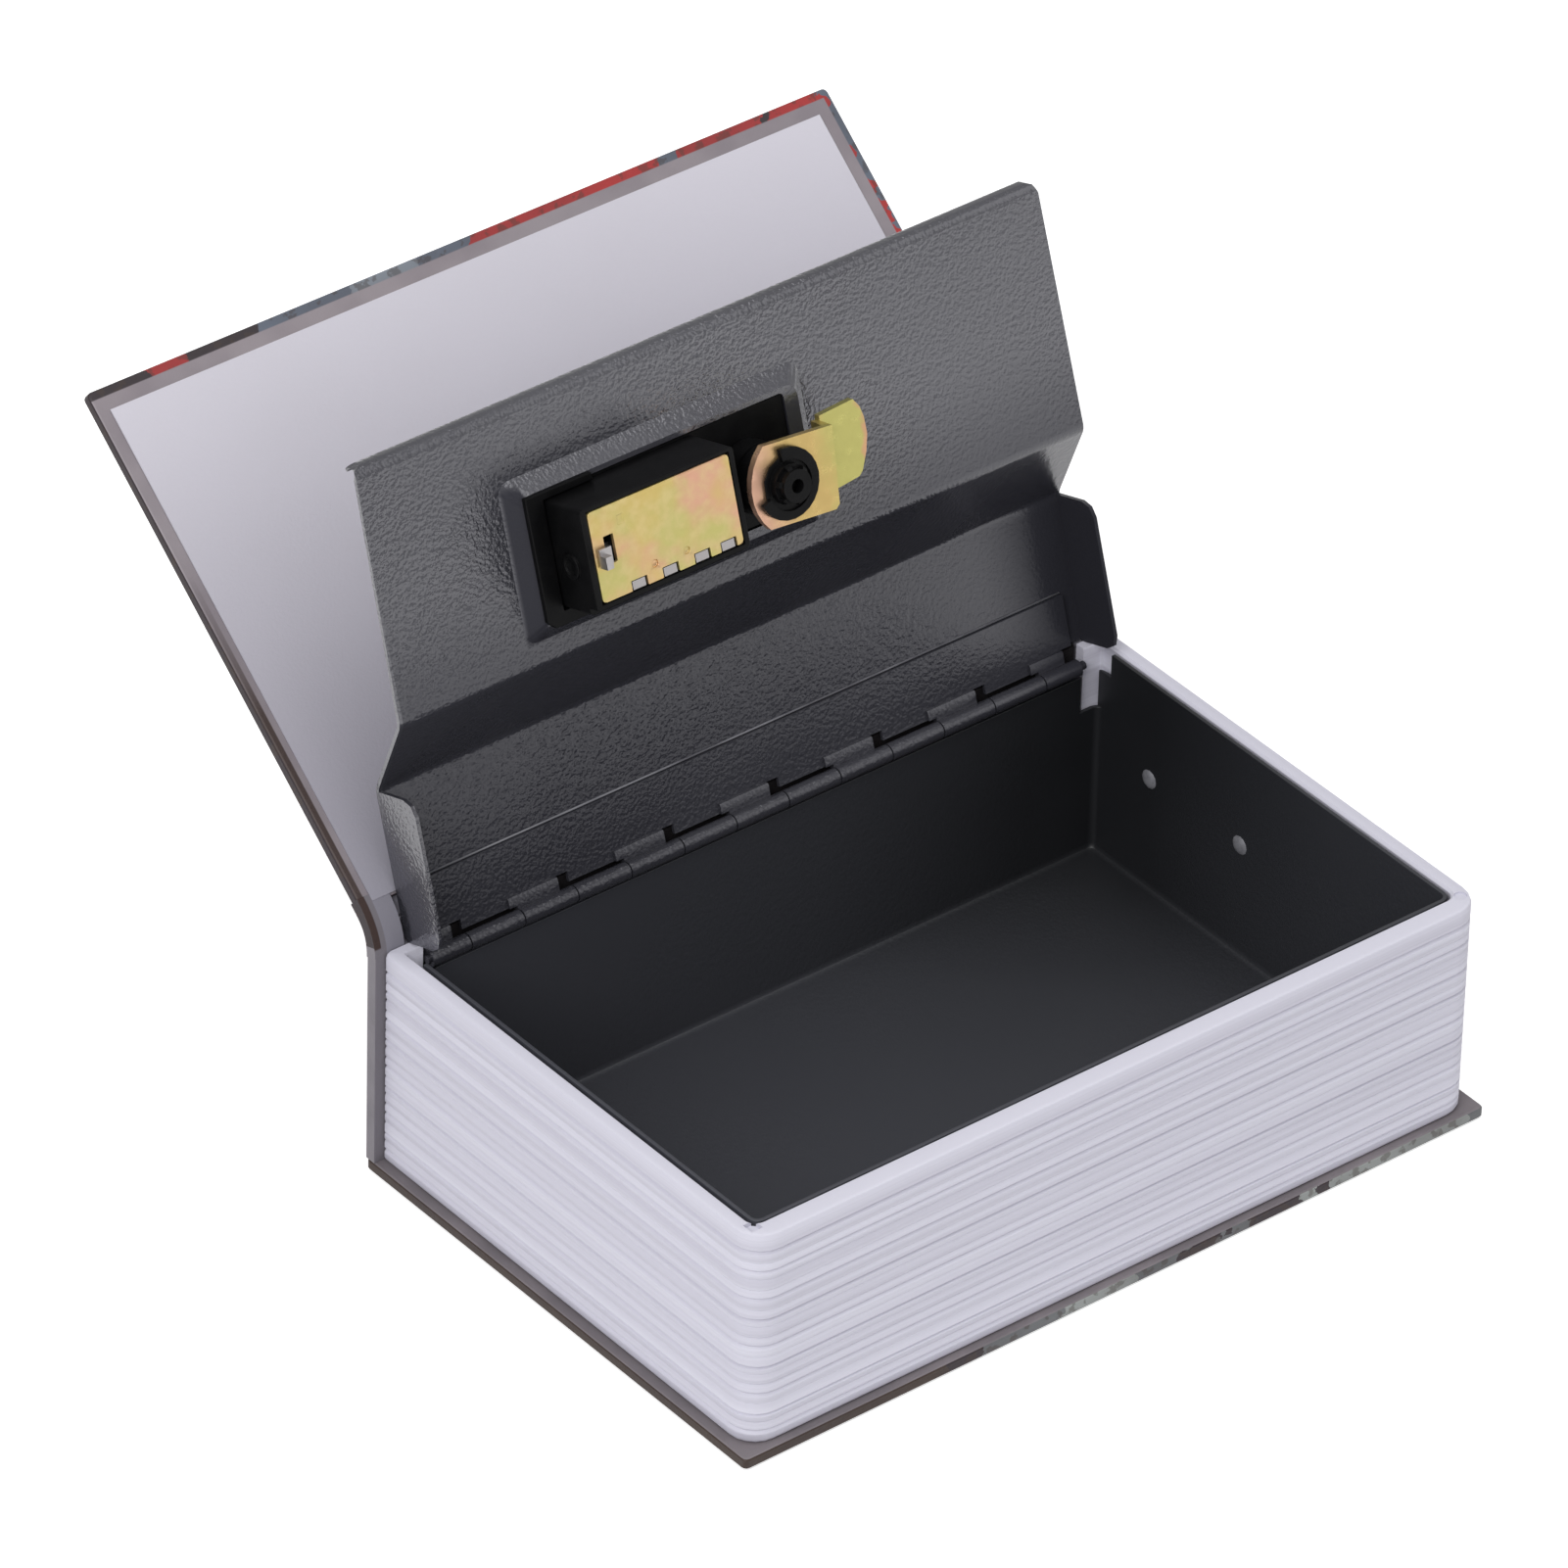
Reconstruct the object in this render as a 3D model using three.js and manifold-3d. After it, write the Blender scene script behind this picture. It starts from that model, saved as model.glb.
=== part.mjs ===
// A book-shaped safe, standing open: a hardback cover around a hollow block of
// pages that holds a sheet-steel box with a hinged, locking lid.
// Millimetres, +Z up. X runs along the spine from tail to head, -Y is the
// fore-edge, +Y the spine. The origin is the middle of the back board's underside.
// The lid and the front board are drawn closed and then swung open about their hinges.
import * as THREE from 'three';
import { mergeVertices } from 'three/addons/utils/BufferGeometryUtils.js';
import Module from 'manifold-3d';

// cover
const bookLength = 180;
const bookWidth = 115;
const bookHeight = 55;
const bookHalf = bookLength / 2;
const coverHalfWidth = bookWidth / 2;
const boardThick = 2.5;
const boardEdgeRound = 0.45;
const boardCornerRadius = 1;
const paperThick = 0.3;
const spineBoardInnerY = coverHalfWidth - boardThick;
const spineBoardDrop = 4.5;
const spineBoardTop = bookHeight - spineBoardDrop;
const frontBoardShort = 2;
const frontBoardHeadEnd = bookHalf - frontBoardShort;
const frontBoardShy = 1;
const frontBoardForeY = frontBoardShy - coverHalfWidth;
const creaseStandOff = 0.4;
const creaseY = coverHalfWidth + creaseStandOff;
const creaseRadius = 0.35;
const creaseGap = 4;
const coverOpenAngle = 141;
const endpaperTailInset = 2.8;
const endpaperInset = 4.6;
const endpaperThick = 0.25;
const endpaperSink = 0.1;

// hollow block of pages, inside the boards' squares
const endSquare = 2;
const foreSquare = 1.5;
const spineSlack = 0.2;
const blockDrop = 1.5;
const blockHalfLength = bookHalf - endSquare;
const blockForeY = foreSquare - coverHalfWidth;
const blockSpineY = spineBoardInnerY - spineSlack;
const blockTop = bookHeight - boardThick - blockDrop;
const endRim = 3.3;
const foreRim = 4.6;
const spineRim = 2.2;
const cavityHalfLength = blockHalfLength - endRim;
const cavityForeY = blockForeY + foreRim;
const cavitySpineY = blockSpineY - spineRim;
const blockCornerRadius = 6;
const cavityCornerRadius = 2.2;
const squareCornerRadius = 0.6;
const rimRound = 0.9;
const cavityRound = 0.5;
const topBand = 3.2;
const footRound = 1;
const pageGrooves = 20;
const pageGrooveDepth = 0.5;
const hingeGapDepth = 20;
const hingeGapSpare = 0.3;
const mouldMarkReach = 1.6;
const mouldMarkDepth = 1;
const mouldDimpleRadius = 1.3;
const mouldDimpleDepth = 0.4;

// steel box, a little smaller than the hollow
const sheet = 0.8;
const boxEndGap = 0.7;
const boxForeGap = 0.25;
const boxSpineGap = 0.4;
const boxRimDrop = 0.3;
const boxHalfLength = cavityHalfLength - boxEndGap;
const boxForeY = cavityForeY + boxForeGap;
const boxSpineY = cavitySpineY - boxSpineGap;
const boxTop = blockTop - boxRimDrop;
const boxInnerX = boxHalfLength - sheet;
const boxInnerFore = boxForeY + sheet;
const boxBend = 2.2;
const spineWallDrop = 5.2;
const cornerSlotWidth = 5.4;
const cornerSlotDepth = 13.7;
const endNotchReach = 4.1;
const endNotchDepth = 5.3;

// rivets that hold the box in the block
const rivetsFromSpine = [16.7, 43.8];
const rivetHeight = 26;
const rivetZ = boardThick + rivetHeight;
const rivetHeadRadius = 2.05;
const rivetHeadHeight = 0.5;
const rivetShankRadius = 1.4;
const rivetHoleRadius = 1.55;
const rivetBite = 1.7;
const rivetReach = sheet + boxEndGap + rivetBite;

// hinge, along the box's spine wall
const hingeInset = 0.2;
const hingeDrop = 2.9;
const hingeY = boxSpineY - hingeInset;
const hingeZ = boxTop - hingeDrop;
const knuckles = 13;
const hingeShort = 4.95;
const hingeMiddleX = -0.9;
const barrelHalf = boxHalfLength - hingeShort;
const barrelLow = hingeMiddleX - barrelHalf;
const barrelHigh = hingeMiddleX + barrelHalf;
const endKnuckle = 9.2;
const knucklePitch = (2 * (barrelHalf - endKnuckle)) / (knuckles - 2);
const knuckleGap = 0.3;
const barrelRadius = 1.75;
const boreRadius = 0.95;
const pinRadius = 0.87;
const pinTailStand = 0.4;
const pinHeadStand = 1.45;
const leafThick = 0.75;
const boxLeafReach = 14.8;
const lidLeafReach = 15;
const leafEdge = 2.3;
const reliefWidth = 2.5;
const reliefReach = 4.4;
const tailReach = 4.3;
const tailThick = 0.6;
const tailOverhang = 1.8;

// lid, drawn closed inside the box's walls
const lidOpenAngle = 108;
const lidEndGap = 0.9;
const lidForeGap = 0.75;
const lidLeafGap = 0.2;
const lidHalfLength = boxInnerX - lidEndGap;
const lidForeY = boxInnerFore + lidForeGap;
const lidDepth = hingeY - lidForeY;
const lidEdgeInset = 1;
const lidEdgeHalfLength = lidHalfLength - lidEdgeInset;
const lidHeelInset = 4.5;
const lidHeelY = hingeY - lidHeelInset;
const lowPartShare = 0.3435;
const stepRun = 15.2;
const upperBendY = hingeY - lidDepth * lowPartShare;
const lowerBendY = upperBendY - stepRun;
const lidDrop = 11.85;
const lidUpperZ = hingeZ + barrelRadius + lidLeafGap;
const panelZ = lidUpperZ - lidDrop;
const bendRadius = 2.6;
const earDepth = 10.9;
const earHeelInset = 3.9;
const earHeelY = hingeY - earHeelInset;
const earForeY = upperBendY + 0.3;
const earCorner = 3;
const hemRadius = 2.2;
const lidCorner = 2.6;

// the spindle's place on the main panel
const camX = 2.7;
const camShare = 0.598;
const camY = lidForeY + (lowerBendY - lidForeY) * camShare;
const fromCam = (x, y) => new THREE.Vector2(camX + x, camY + y);

// raised plateau round the lock
const plateauLow = fromCam(-54.2, -16.5);
const plateauHigh = fromCam(16.9, 16);
const plateauSlope = 3.1;
const plateauRise = 3;
const plateauFace = panelZ - plateauRise;
const plateauCorner = 2.5;
const cutoutLow = fromCam(-47.7, -12.4);
const cutoutHigh = fromCam(10.6, 11.1);

// lock
const lockGap = 0.3;
const baseTop = panelZ + 1.1;
const baseLow = fromCam(-50.3, -13.2);
const baseHigh = fromCam(13.4, 12.7);
const housingLow = fromCam(-47.2, -11.7);
const housingHigh = fromCam(-11, 9.9);
const housingBottom = panelZ - 14.1;
const housingWall = 1.2;
const housingFloor = 1.6;
const bossRadius = 2.6;
const bossFromFloor = 4.6;
const plateLow = fromCam(-45.6, -10.6);
const plateHigh = fromCam(-12.3, 7.5);
const plateThick = 0.8;
const rimHigh = fromCam(-11, 8.7);
const plateNotches = [-36.8, -29.4, -21.9, -15.7];
const plateNotchWidth = 3.8;
const plateNotchDepth = 2;
const plateHoles = [fromCam(-32.7, 4.1), fromCam(-25.2, 4.2)];
const plateHoleRadius = 0.75;
const plateHoleDepth = 0.5;
const plateMarkLow = fromCam(-39.2, -7.9);
const plateMarkHigh = fromCam(-37.9, -6);
const plateMarkDepth = 0.15;
const clampLow = fromCam(-51.5, -13.5);
const clampHigh = fromCam(-41.2, 12.9);
const clampReachX = camX - 35.9;
const clampThick = 1.3;

const wheelPitch = 7.4;
const wheelXs = [0, 1, 2].map((place) => camX - 36.7 + place * wheelPitch);
const wheelY = camY - 0.9;
const wheelZ = panelZ - 4.7;
const wheelRadius = 7.5;
const wheelWidth = 5;
const wheelDigits = 10;
const axleRadius = 1.4;
const wheelBore = 1.5;
const sleeveRadius = 4.6;
const sleeveWidth = 1.6;
const sleeveGap = 0.25;
const gateWidth = 1.6;
const gateDepth = 1.3;

const fenceTravel = 1;
const fenceThick = 1.2;
const fenceLowZ = wheelZ - 2.7;
const fenceHighZ = wheelZ + 0.6;
const fenceTooth = 0.8;

const leverX = camX - 41.9;
const leverWidth = 3;
const leverTravel = 3;
const leverFoot = camY + 0.7;
const leverStrip = 0.6;
const leverStemReach = 2.5;
const leverArmReach = 3.9;
const leverArmWidth = 2;
const leverTipReach = 2.7;
const leverTipWidth = 1.5;
const leverRise = 2.6;
const leverSlotHalf = 1.15;

// cam and knob
const camTilt = 5.3;
const camThick = 1.5;
const camFace = housingBottom;
const camHalfWidth = 8.2;
const camEnd = 12;
const camArcRadius = 11.2;
const camArcCentre = 3.3;
const camRise = 4;
const camSquare = 2.6;
const drumRadius = 7;
const drumFoot = camFace + 1.9;
const drumTop = camFace + 11;
const eccentricFoot = camFace + 5.8;
const eccentricTop = camFace + 10.4;
const spindleRadius = 4;
const capRadius = 7.1;
const capThick = 0.9;
const capInnerRadius = 5;
const postRadius = 3.3;
const postBore = 1.4;
const postHeight = 3.6;
const knobSkirtRadius = 9.4;
const knobSkirtHeight = 1.8;
const knobGripHeight = 6.4;
const knobGripWidth = 5.4;

// strike that the cam turns under
const strikeLowX = camX - 11.7;
const strikeHighX = camX + 12.3;
const strikeWidth = 12.2;
const strikeLift = 6.2;
const strikeZ = camFace + strikeLift;
const strikeThick = 1.2;
const strikeDrop = 8.5;
const strikeRivetInset = 4;

const wasm = await Module();
wasm.setup();

// Surfaces
function finish(color, roughness, metalness = 0) {
  return new THREE.MeshStandardMaterial({ color, roughness, metalness });
}
const finishes = {
  cover: finish(0x3a3338, 0.55),
  paper: finish(0xb9b6c0, 0.8),
  pages: finish(0xd8d6e0, 0.6),
  steel: finish(0x3c3e42, 0.42, 0.3),
  bright: finish(0xb4b6b8, 0.35, 0.9),
  black: finish(0x18181a, 0.45),
  zinc: finish(0xc9a95a, 0.35, 0.9),
};

// A closed shape ready for cutting and joining
function solid(geometry) {
  const plain = geometry.clone();
  plain.deleteAttribute('normal');
  plain.deleteAttribute('uv');
  const merged = mergeVertices(plain, 1e-4);
  return new wasm.Manifold(new wasm.Mesh({
    numProp: 3,
    vertProperties: new Float32Array(merged.attributes.position.array),
    triVerts: new Uint32Array(merged.index.array),
  }));
}

function join(first, ...others) {
  return others.reduce((whole, next) => whole.add(next), first);
}

function cut(first, ...others) {
  return others.reduce((whole, next) => whole.subtract(next), first);
}

// A straight-sided block between two corners
function block(x0, x1, y0, y1, z0, z1) {
  const box = new THREE.BoxGeometry(x1 - x0, y1 - y0, z1 - z0);
  box.translate((x0 + x1) / 2, (y0 + y1) / 2, (z0 + z1) / 2);
  return solid(box);
}

// A flat outline given as [x, y] corners, raised from z0 to z1
function slab(outline, z0, z1) {
  const shape = new THREE.Shape(outline.map(([x, y]) => new THREE.Vector2(x, y)));
  const raised = new THREE.ExtrudeGeometry(shape, { depth: z1 - z0, bevelEnabled: false });
  raised.translate(0, 0, z0);
  return solid(raised);
}

// A profile given as [y, z] corners, run along X from x0 to x1
function run(profile, x0, x1) {
  const shape = new THREE.Shape(profile.map(([y, z]) => new THREE.Vector2(y, z)));
  const raised = new THREE.ExtrudeGeometry(shape, { depth: x1 - x0, bevelEnabled: false });
  raised.rotateZ(Math.PI / 2);
  raised.rotateY(Math.PI / 2);
  raised.translate(x0, 0, 0);
  return solid(raised);
}

// A round bar along X
function barX(y, z, radius, x0, x1, facets = 16) {
  const bar = new THREE.CylinderGeometry(radius, radius, x1 - x0, facets);
  bar.rotateZ(Math.PI / 2);
  bar.translate((x0 + x1) / 2, y, z);
  return solid(bar);
}

// A round bar along Z
function barZ(x, y, radius, z0, z1, facets = 24) {
  const bar = new THREE.CylinderGeometry(radius, radius, z1 - z0, facets);
  bar.rotateX(Math.PI / 2);
  bar.translate(x, y, (z0 + z1) / 2);
  return solid(bar);
}

// The corners of a rectangle with rounded corners, each corner in equal steps
function rounded(x0, x1, y0, y1, radii, steps = 4) {
  const corners = [
    [x0, y0, 1, 1, Math.PI],
    [x1, y0, -1, 1, Math.PI * 1.5],
    [x1, y1, -1, -1, 0],
    [x0, y1, 1, -1, Math.PI / 2],
  ];
  const points = [];
  corners.forEach(([x, y, sx, sy, start], corner) => {
    const radius = Array.isArray(radii) ? radii[corner] : radii;
    for (let step = 0; step <= steps; step += 1) {
      const angle = start + (step / steps) * (Math.PI / 2);
      points.push([
        x + sx * radius + radius * Math.cos(angle),
        y + sy * radius + radius * Math.sin(angle),
      ]);
    }
  });
  return points;
}

// A skin through rings of equal count. Open ends get flat caps; a looped run
// of rings closes on itself instead.
function loft(rings, looped = false) {
  const count = rings[0].points.length;
  const positions = [];
  const index = [];
  rings.forEach(({ points, z }) => points.forEach(([x, y]) => positions.push(x, y, z)));
  const spans = looped ? rings.length : rings.length - 1;
  for (let ring = 0; ring < spans; ring += 1) {
    const next = (ring + 1) % rings.length;
    for (let point = 0; point < count; point += 1) {
      const a = ring * count + point;
      const b = ring * count + ((point + 1) % count);
      const c = next * count + ((point + 1) % count);
      const d = next * count + point;
      index.push(a, b, c, a, c, d);
    }
  }
  if (!looped) {
    const last = (rings.length - 1) * count;
    for (let point = 1; point < count - 1; point += 1) {
      index.push(0, point + 1, point);
      index.push(last, last + point, last + point + 1);
    }
  }
  const geometry = new THREE.BufferGeometry();
  geometry.setAttribute('position', new THREE.Float32BufferAttribute(positions, 3));
  geometry.setIndex(index);
  return solid(geometry);
}

// Swings a closed piece open about an axis along X
function swing(piece, y, z, degrees) {
  return piece.translate([0, -y, -z]).rotate([-degrees, 0, 0]).translate([0, y, z]);
}

const safe = new THREE.Group();
safe.name = 'book_safe';

// Adds one named piece to the safe
function add(name, piece, surface) {
  const mesh = piece.getMesh();
  const geometry = new THREE.BufferGeometry();
  geometry.setAttribute('position', new THREE.Float32BufferAttribute(mesh.vertProperties, 3));
  geometry.setIndex(Array.from(mesh.triVerts));
  const faceted = geometry.toNonIndexed();
  faceted.computeVertexNormals();
  const node = new THREE.Mesh(faceted, surface);
  node.name = name;
  safe.add(node);
}

function addLid(name, piece, surface) {
  add(name, swing(piece, hingeY, hingeZ, lidOpenAngle), surface);
}

function addFront(name, piece, surface) {
  add(name, swing(piece, creaseY, bookHeight, coverOpenAngle), surface);
}

// A cover board with softened edges and corners
function board(x0, x1, y0, y1, z0, z1) {
  const soft = boardEdgeRound;
  const ring = (inset, z) => ({
    points: rounded(x0 + inset, x1 - inset, y0 + inset, y1 - inset, boardCornerRadius, 3),
    z,
  });
  return loft([
    ring(soft, z0),
    ring(soft * 0.3, z0 + soft * 0.3),
    ring(0, z0 + soft),
    ring(0, z1 - soft),
    ring(soft * 0.3, z1 - soft * 0.3),
    ring(soft, z1),
  ]);
}

// Cover boards, and the paper that joins them
add('back_board', board(-bookHalf, bookHalf, -coverHalfWidth, coverHalfWidth, 0, boardThick), finishes.cover);
add(
  'spine_board',
  run(
    [
      [spineBoardInnerY, boardThick],
      [coverHalfWidth, boardThick],
      [coverHalfWidth, spineBoardTop - boardEdgeRound],
      [coverHalfWidth - boardEdgeRound, spineBoardTop],
      [spineBoardInnerY, spineBoardTop],
    ],
    -bookHalf,
    bookHalf,
  ),
  finishes.cover,
);
add(
  'spine_strip',
  block(
    -bookHalf + paperThick,
    bookHalf - paperThick,
    coverHalfWidth - paperThick,
    coverHalfWidth,
    spineBoardTop,
    bookHeight - creaseRadius - 3 * paperThick,
  ),
  finishes.cover,
);
add(
  'cover_crease',
  barX(creaseY, bookHeight, creaseRadius, -bookHalf + paperThick, frontBoardHeadEnd - paperThick, 10),
  finishes.cover,
);
const frontHingeY = creaseY - creaseGap;
addFront(
  'front_board',
  board(-bookHalf, frontBoardHeadEnd, frontBoardForeY, frontHingeY, bookHeight - boardThick, bookHeight),
  finishes.cover,
);
addFront(
  'front_joint_paper',
  block(
    -bookHalf + paperThick,
    frontBoardHeadEnd - paperThick,
    frontHingeY + paperThick,
    creaseY - creaseRadius - paperThick,
    bookHeight - 2 * paperThick,
    bookHeight - paperThick / 2,
  ),
  finishes.cover,
);
const endpaperTop = bookHeight - boardThick - endpaperSink;
addFront(
  'front_endpaper',
  block(
    -bookHalf + endpaperTailInset,
    frontBoardHeadEnd - endpaperInset,
    frontBoardForeY + endpaperInset,
    frontHingeY - 2 * paperThick,
    endpaperTop - endpaperThick,
    endpaperTop,
  ),
  finishes.paper,
);

// Hollow block of pages: one profile carried round the four sides
function blockRing(inset, z) {
  const radius = blockCornerRadius - inset;
  return {
    points: rounded(
      -blockHalfLength + inset,
      blockHalfLength - inset,
      blockForeY + inset,
      blockSpineY,
      [radius, radius, squareCornerRadius, squareCornerRadius],
      5,
    ),
    z,
  };
}

function cavityRing(outset, z) {
  const radius = cavityCornerRadius + outset;
  return {
    points: rounded(
      -cavityHalfLength - outset,
      cavityHalfLength + outset,
      cavityForeY - outset,
      cavitySpineY + outset / 2,
      [radius, radius, squareCornerRadius, squareCornerRadius],
      5,
    ),
    z,
  };
}

// Page edges: shallow grooves of uneven height and depth
const blockRings = [
  blockRing(footRound, boardThick),
  blockRing(footRound * 0.35, boardThick + footRound * 0.35),
  blockRing(0, boardThick + footRound),
];
const grooveStart = boardThick + footRound + 0.6;
const groovePitch = (blockTop - topBand - grooveStart) / pageGrooves;
for (let groove = 0; groove < pageGrooves; groove += 1) {
  const unevenness = Math.sin(groove * 2.4) * 0.5 + Math.sin(groove * 5.1 + 1) * 0.5;
  const middle = grooveStart + groovePitch * (groove + 0.5 + 0.16 * unevenness);
  const depth = pageGrooveDepth * (0.72 + 0.28 * Math.sin(groove * 3.7 + 0.5));
  const half = groovePitch * (0.24 + 0.08 * unevenness);
  blockRings.push(
    blockRing(0, middle - half),
    blockRing(depth, middle),
    blockRing(0, middle + half),
  );
}
blockRings.push(
  blockRing(0, blockTop - rimRound),
  blockRing(rimRound * 0.3, blockTop - rimRound * 0.3),
  blockRing(rimRound, blockTop),
  cavityRing(cavityRound, blockTop),
  cavityRing(0, blockTop - cavityRound),
  cavityRing(0, boardThick),
);
let pages = cut(
  loft(blockRings, true),
  block(
    barrelLow - pinTailStand - hingeGapSpare,
    barrelHigh + pinHeadStand + hingeGapSpare,
    cavitySpineY - 5,
    blockSpineY + 5,
    blockTop - hingeGapDepth,
    blockTop + 5,
  ),
);
// small moulding marks in the rim's fore corners
pages = cut(
  pages,
  block(
    -cavityHalfLength - mouldMarkReach,
    -cavityHalfLength + 1,
    cavityForeY - mouldMarkReach,
    cavityForeY + 1,
    blockTop - mouldMarkDepth,
    blockTop + 1,
  ),
  barZ(
    cavityHalfLength + mouldDimpleRadius / 2,
    cavityForeY - mouldDimpleRadius / 2,
    mouldDimpleRadius,
    blockTop - mouldDimpleDepth,
    blockTop + 1,
    16,
  ),
);
const rivetSides = [['tail', -1], ['head', 1]];
const rivetYs = rivetsFromSpine.map((distance) => boxSpineY - distance);
for (const [, side] of rivetSides) {
  for (const y of rivetYs) {
    const inner = side * boxInnerX;
    const outer = side * (boxInnerX + rivetReach + 0.3);
    pages = cut(pages, barX(y, rivetZ, rivetHoleRadius, Math.min(inner, outer), Math.max(inner, outer), 12));
  }
}
add('page_shell', pages, finishes.pages);

// Steel box: floor and four walls bent from one sheet
function boxRing(inset, z, radius) {
  return {
    points: rounded(
      -boxHalfLength + inset,
      boxHalfLength - inset,
      boxForeY + inset,
      boxSpineY - inset,
      radius,
      3,
    ),
    z,
  };
}
const innerBend = boxBend - sheet;
let steelBox = loft([
  boxRing(boxBend, boardThick, boxBend),
  boxRing(boxBend * 0.3, boardThick + boxBend * 0.3, boxBend),
  boxRing(0, boardThick + boxBend, boxBend),
  boxRing(0, boxTop, boxBend),
  boxRing(sheet, boxTop, innerBend),
  boxRing(sheet, boardThick + sheet + innerBend, innerBend),
  boxRing(sheet + innerBend * 0.3, boardThick + sheet + innerBend * 0.3, innerBend),
  boxRing(sheet + innerBend, boardThick + sheet, innerBend),
]);
const cornerSlotX = boxHalfLength - cornerSlotWidth;
steelBox = cut(
  steelBox,
  block(-cornerSlotX, cornerSlotX, boxSpineY - 2, boxSpineY + 2, boxTop - spineWallDrop, boxTop + 5),
);
for (const [, side] of rivetSides) {
  const spans = (a, b) => [Math.min(side * a, side * b), Math.max(side * a, side * b)];
  const [slot0, slot1] = spans(cornerSlotX, boxInnerX);
  const [notch0, notch1] = spans(boxInnerX - 2, boxHalfLength + 2);
  steelBox = cut(
    steelBox,
    block(slot0, slot1, boxSpineY - boxBend, boxSpineY + 2, boxTop - cornerSlotDepth, boxTop + 5),
    block(notch0, notch1, boxSpineY - endNotchReach, boxSpineY + 2, boxTop - endNotchDepth, boxTop + 5),
  );
  for (const y of rivetYs) {
    const [hole0, hole1] = spans(boxInnerX - 1, boxHalfLength + 1);
    steelBox = cut(steelBox, barX(y, rivetZ, rivetHoleRadius, hole0, hole1, 12));
  }
}
// two holes in the fore wall for the strike's rivets
const strikeRivetXs = [strikeLowX + strikeRivetInset, strikeHighX - strikeRivetInset];
const strikeRivetZ = strikeZ - strikeDrop / 2;
for (const x of strikeRivetXs) {
  const hole = new THREE.CylinderGeometry(rivetHoleRadius, rivetHoleRadius, 4, 12);
  hole.translate(x, boxForeY, strikeRivetZ);
  steelBox = cut(steelBox, solid(hole));
}
add('steel_box', steelBox, finishes.steel);

// A domed rivet, its head on the plane at zero and its shank behind
function rivet(reach) {
  const profile = [
    [0, rivetHeadHeight],
    [rivetHeadRadius * 0.5, rivetHeadHeight * 0.88],
    [rivetHeadRadius * 0.85, rivetHeadHeight * 0.5],
    [rivetHeadRadius, 0],
    [rivetShankRadius, 0],
    [rivetShankRadius, -reach],
    [0, -reach],
  ];
  return new THREE.LatheGeometry(profile.reverse().map(([r, h]) => new THREE.Vector2(r, h)), 12);
}
for (const [end, side] of rivetSides) {
  rivetYs.forEach((y, place) => {
    const turned = rivet(rivetReach);
    turned.rotateZ((side * Math.PI) / 2);
    turned.translate(side * boxInnerX, y, rivetZ);
    add(`${end}_rivet_${place + 1}`, solid(turned), finishes.bright);
  });
}

// Strike: a bent plate on the fore wall that the cam turns under
const strikeFaceY = boxInnerFore + strikeThick;
let strike = join(
  block(strikeLowX, strikeHighX, boxInnerFore, strikeFaceY, strikeZ - strikeDrop, strikeZ + strikeThick),
  block(strikeLowX, strikeHighX, boxInnerFore, boxInnerFore + strikeWidth, strikeZ, strikeZ + strikeThick),
);
strikeRivetXs.forEach((x, place) => {
  const hole = new THREE.CylinderGeometry(rivetHoleRadius, rivetHoleRadius, 4, 12);
  hole.translate(x, boxInnerFore, strikeRivetZ);
  strike = cut(strike, solid(hole));
  const turned = rivet(strikeThick + sheet);
  turned.translate(x, strikeFaceY, strikeRivetZ);
  add(`strike_rivet_${place + 1}`, solid(turned), finishes.bright);
});
add('strike_plate', strike, finishes.steel);

// Hinge: knuckles in turn on the lid's leaf and on the box's leaf. Each roll of the
// lid's leaf ends in a tail that lies on the leaf, with a relief notch beside it.
function knuckleEdge(place) {
  const edge = barrelLow + endKnuckle + (place - 1) * knucklePitch;
  return THREE.MathUtils.clamp(edge, barrelLow, barrelHigh);
}
const boxLeafFoot = hingeZ - boxLeafReach;
let boxLeaf = run(
  [
    [boxSpineY, boxLeafFoot],
    [boxSpineY + leafThick, boxLeafFoot],
    [boxSpineY + leafThick, hingeZ - 4.6],
    [hingeY + barrelRadius, hingeZ - 3.4],
    [hingeY + barrelRadius, hingeZ - 2.6],
    [hingeY + barrelRadius - leafThick, hingeZ - 2.6],
    [boxSpineY, hingeZ - 4.2],
  ],
  barrelLow,
  barrelHigh,
);
const leafFaceZ = hingeZ + barrelRadius - leafThick;
let lidLeaf = block(
  barrelLow,
  barrelHigh,
  hingeY - lidLeafReach,
  hingeY - leafEdge,
  leafFaceZ,
  leafFaceZ + leafThick,
);
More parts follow.
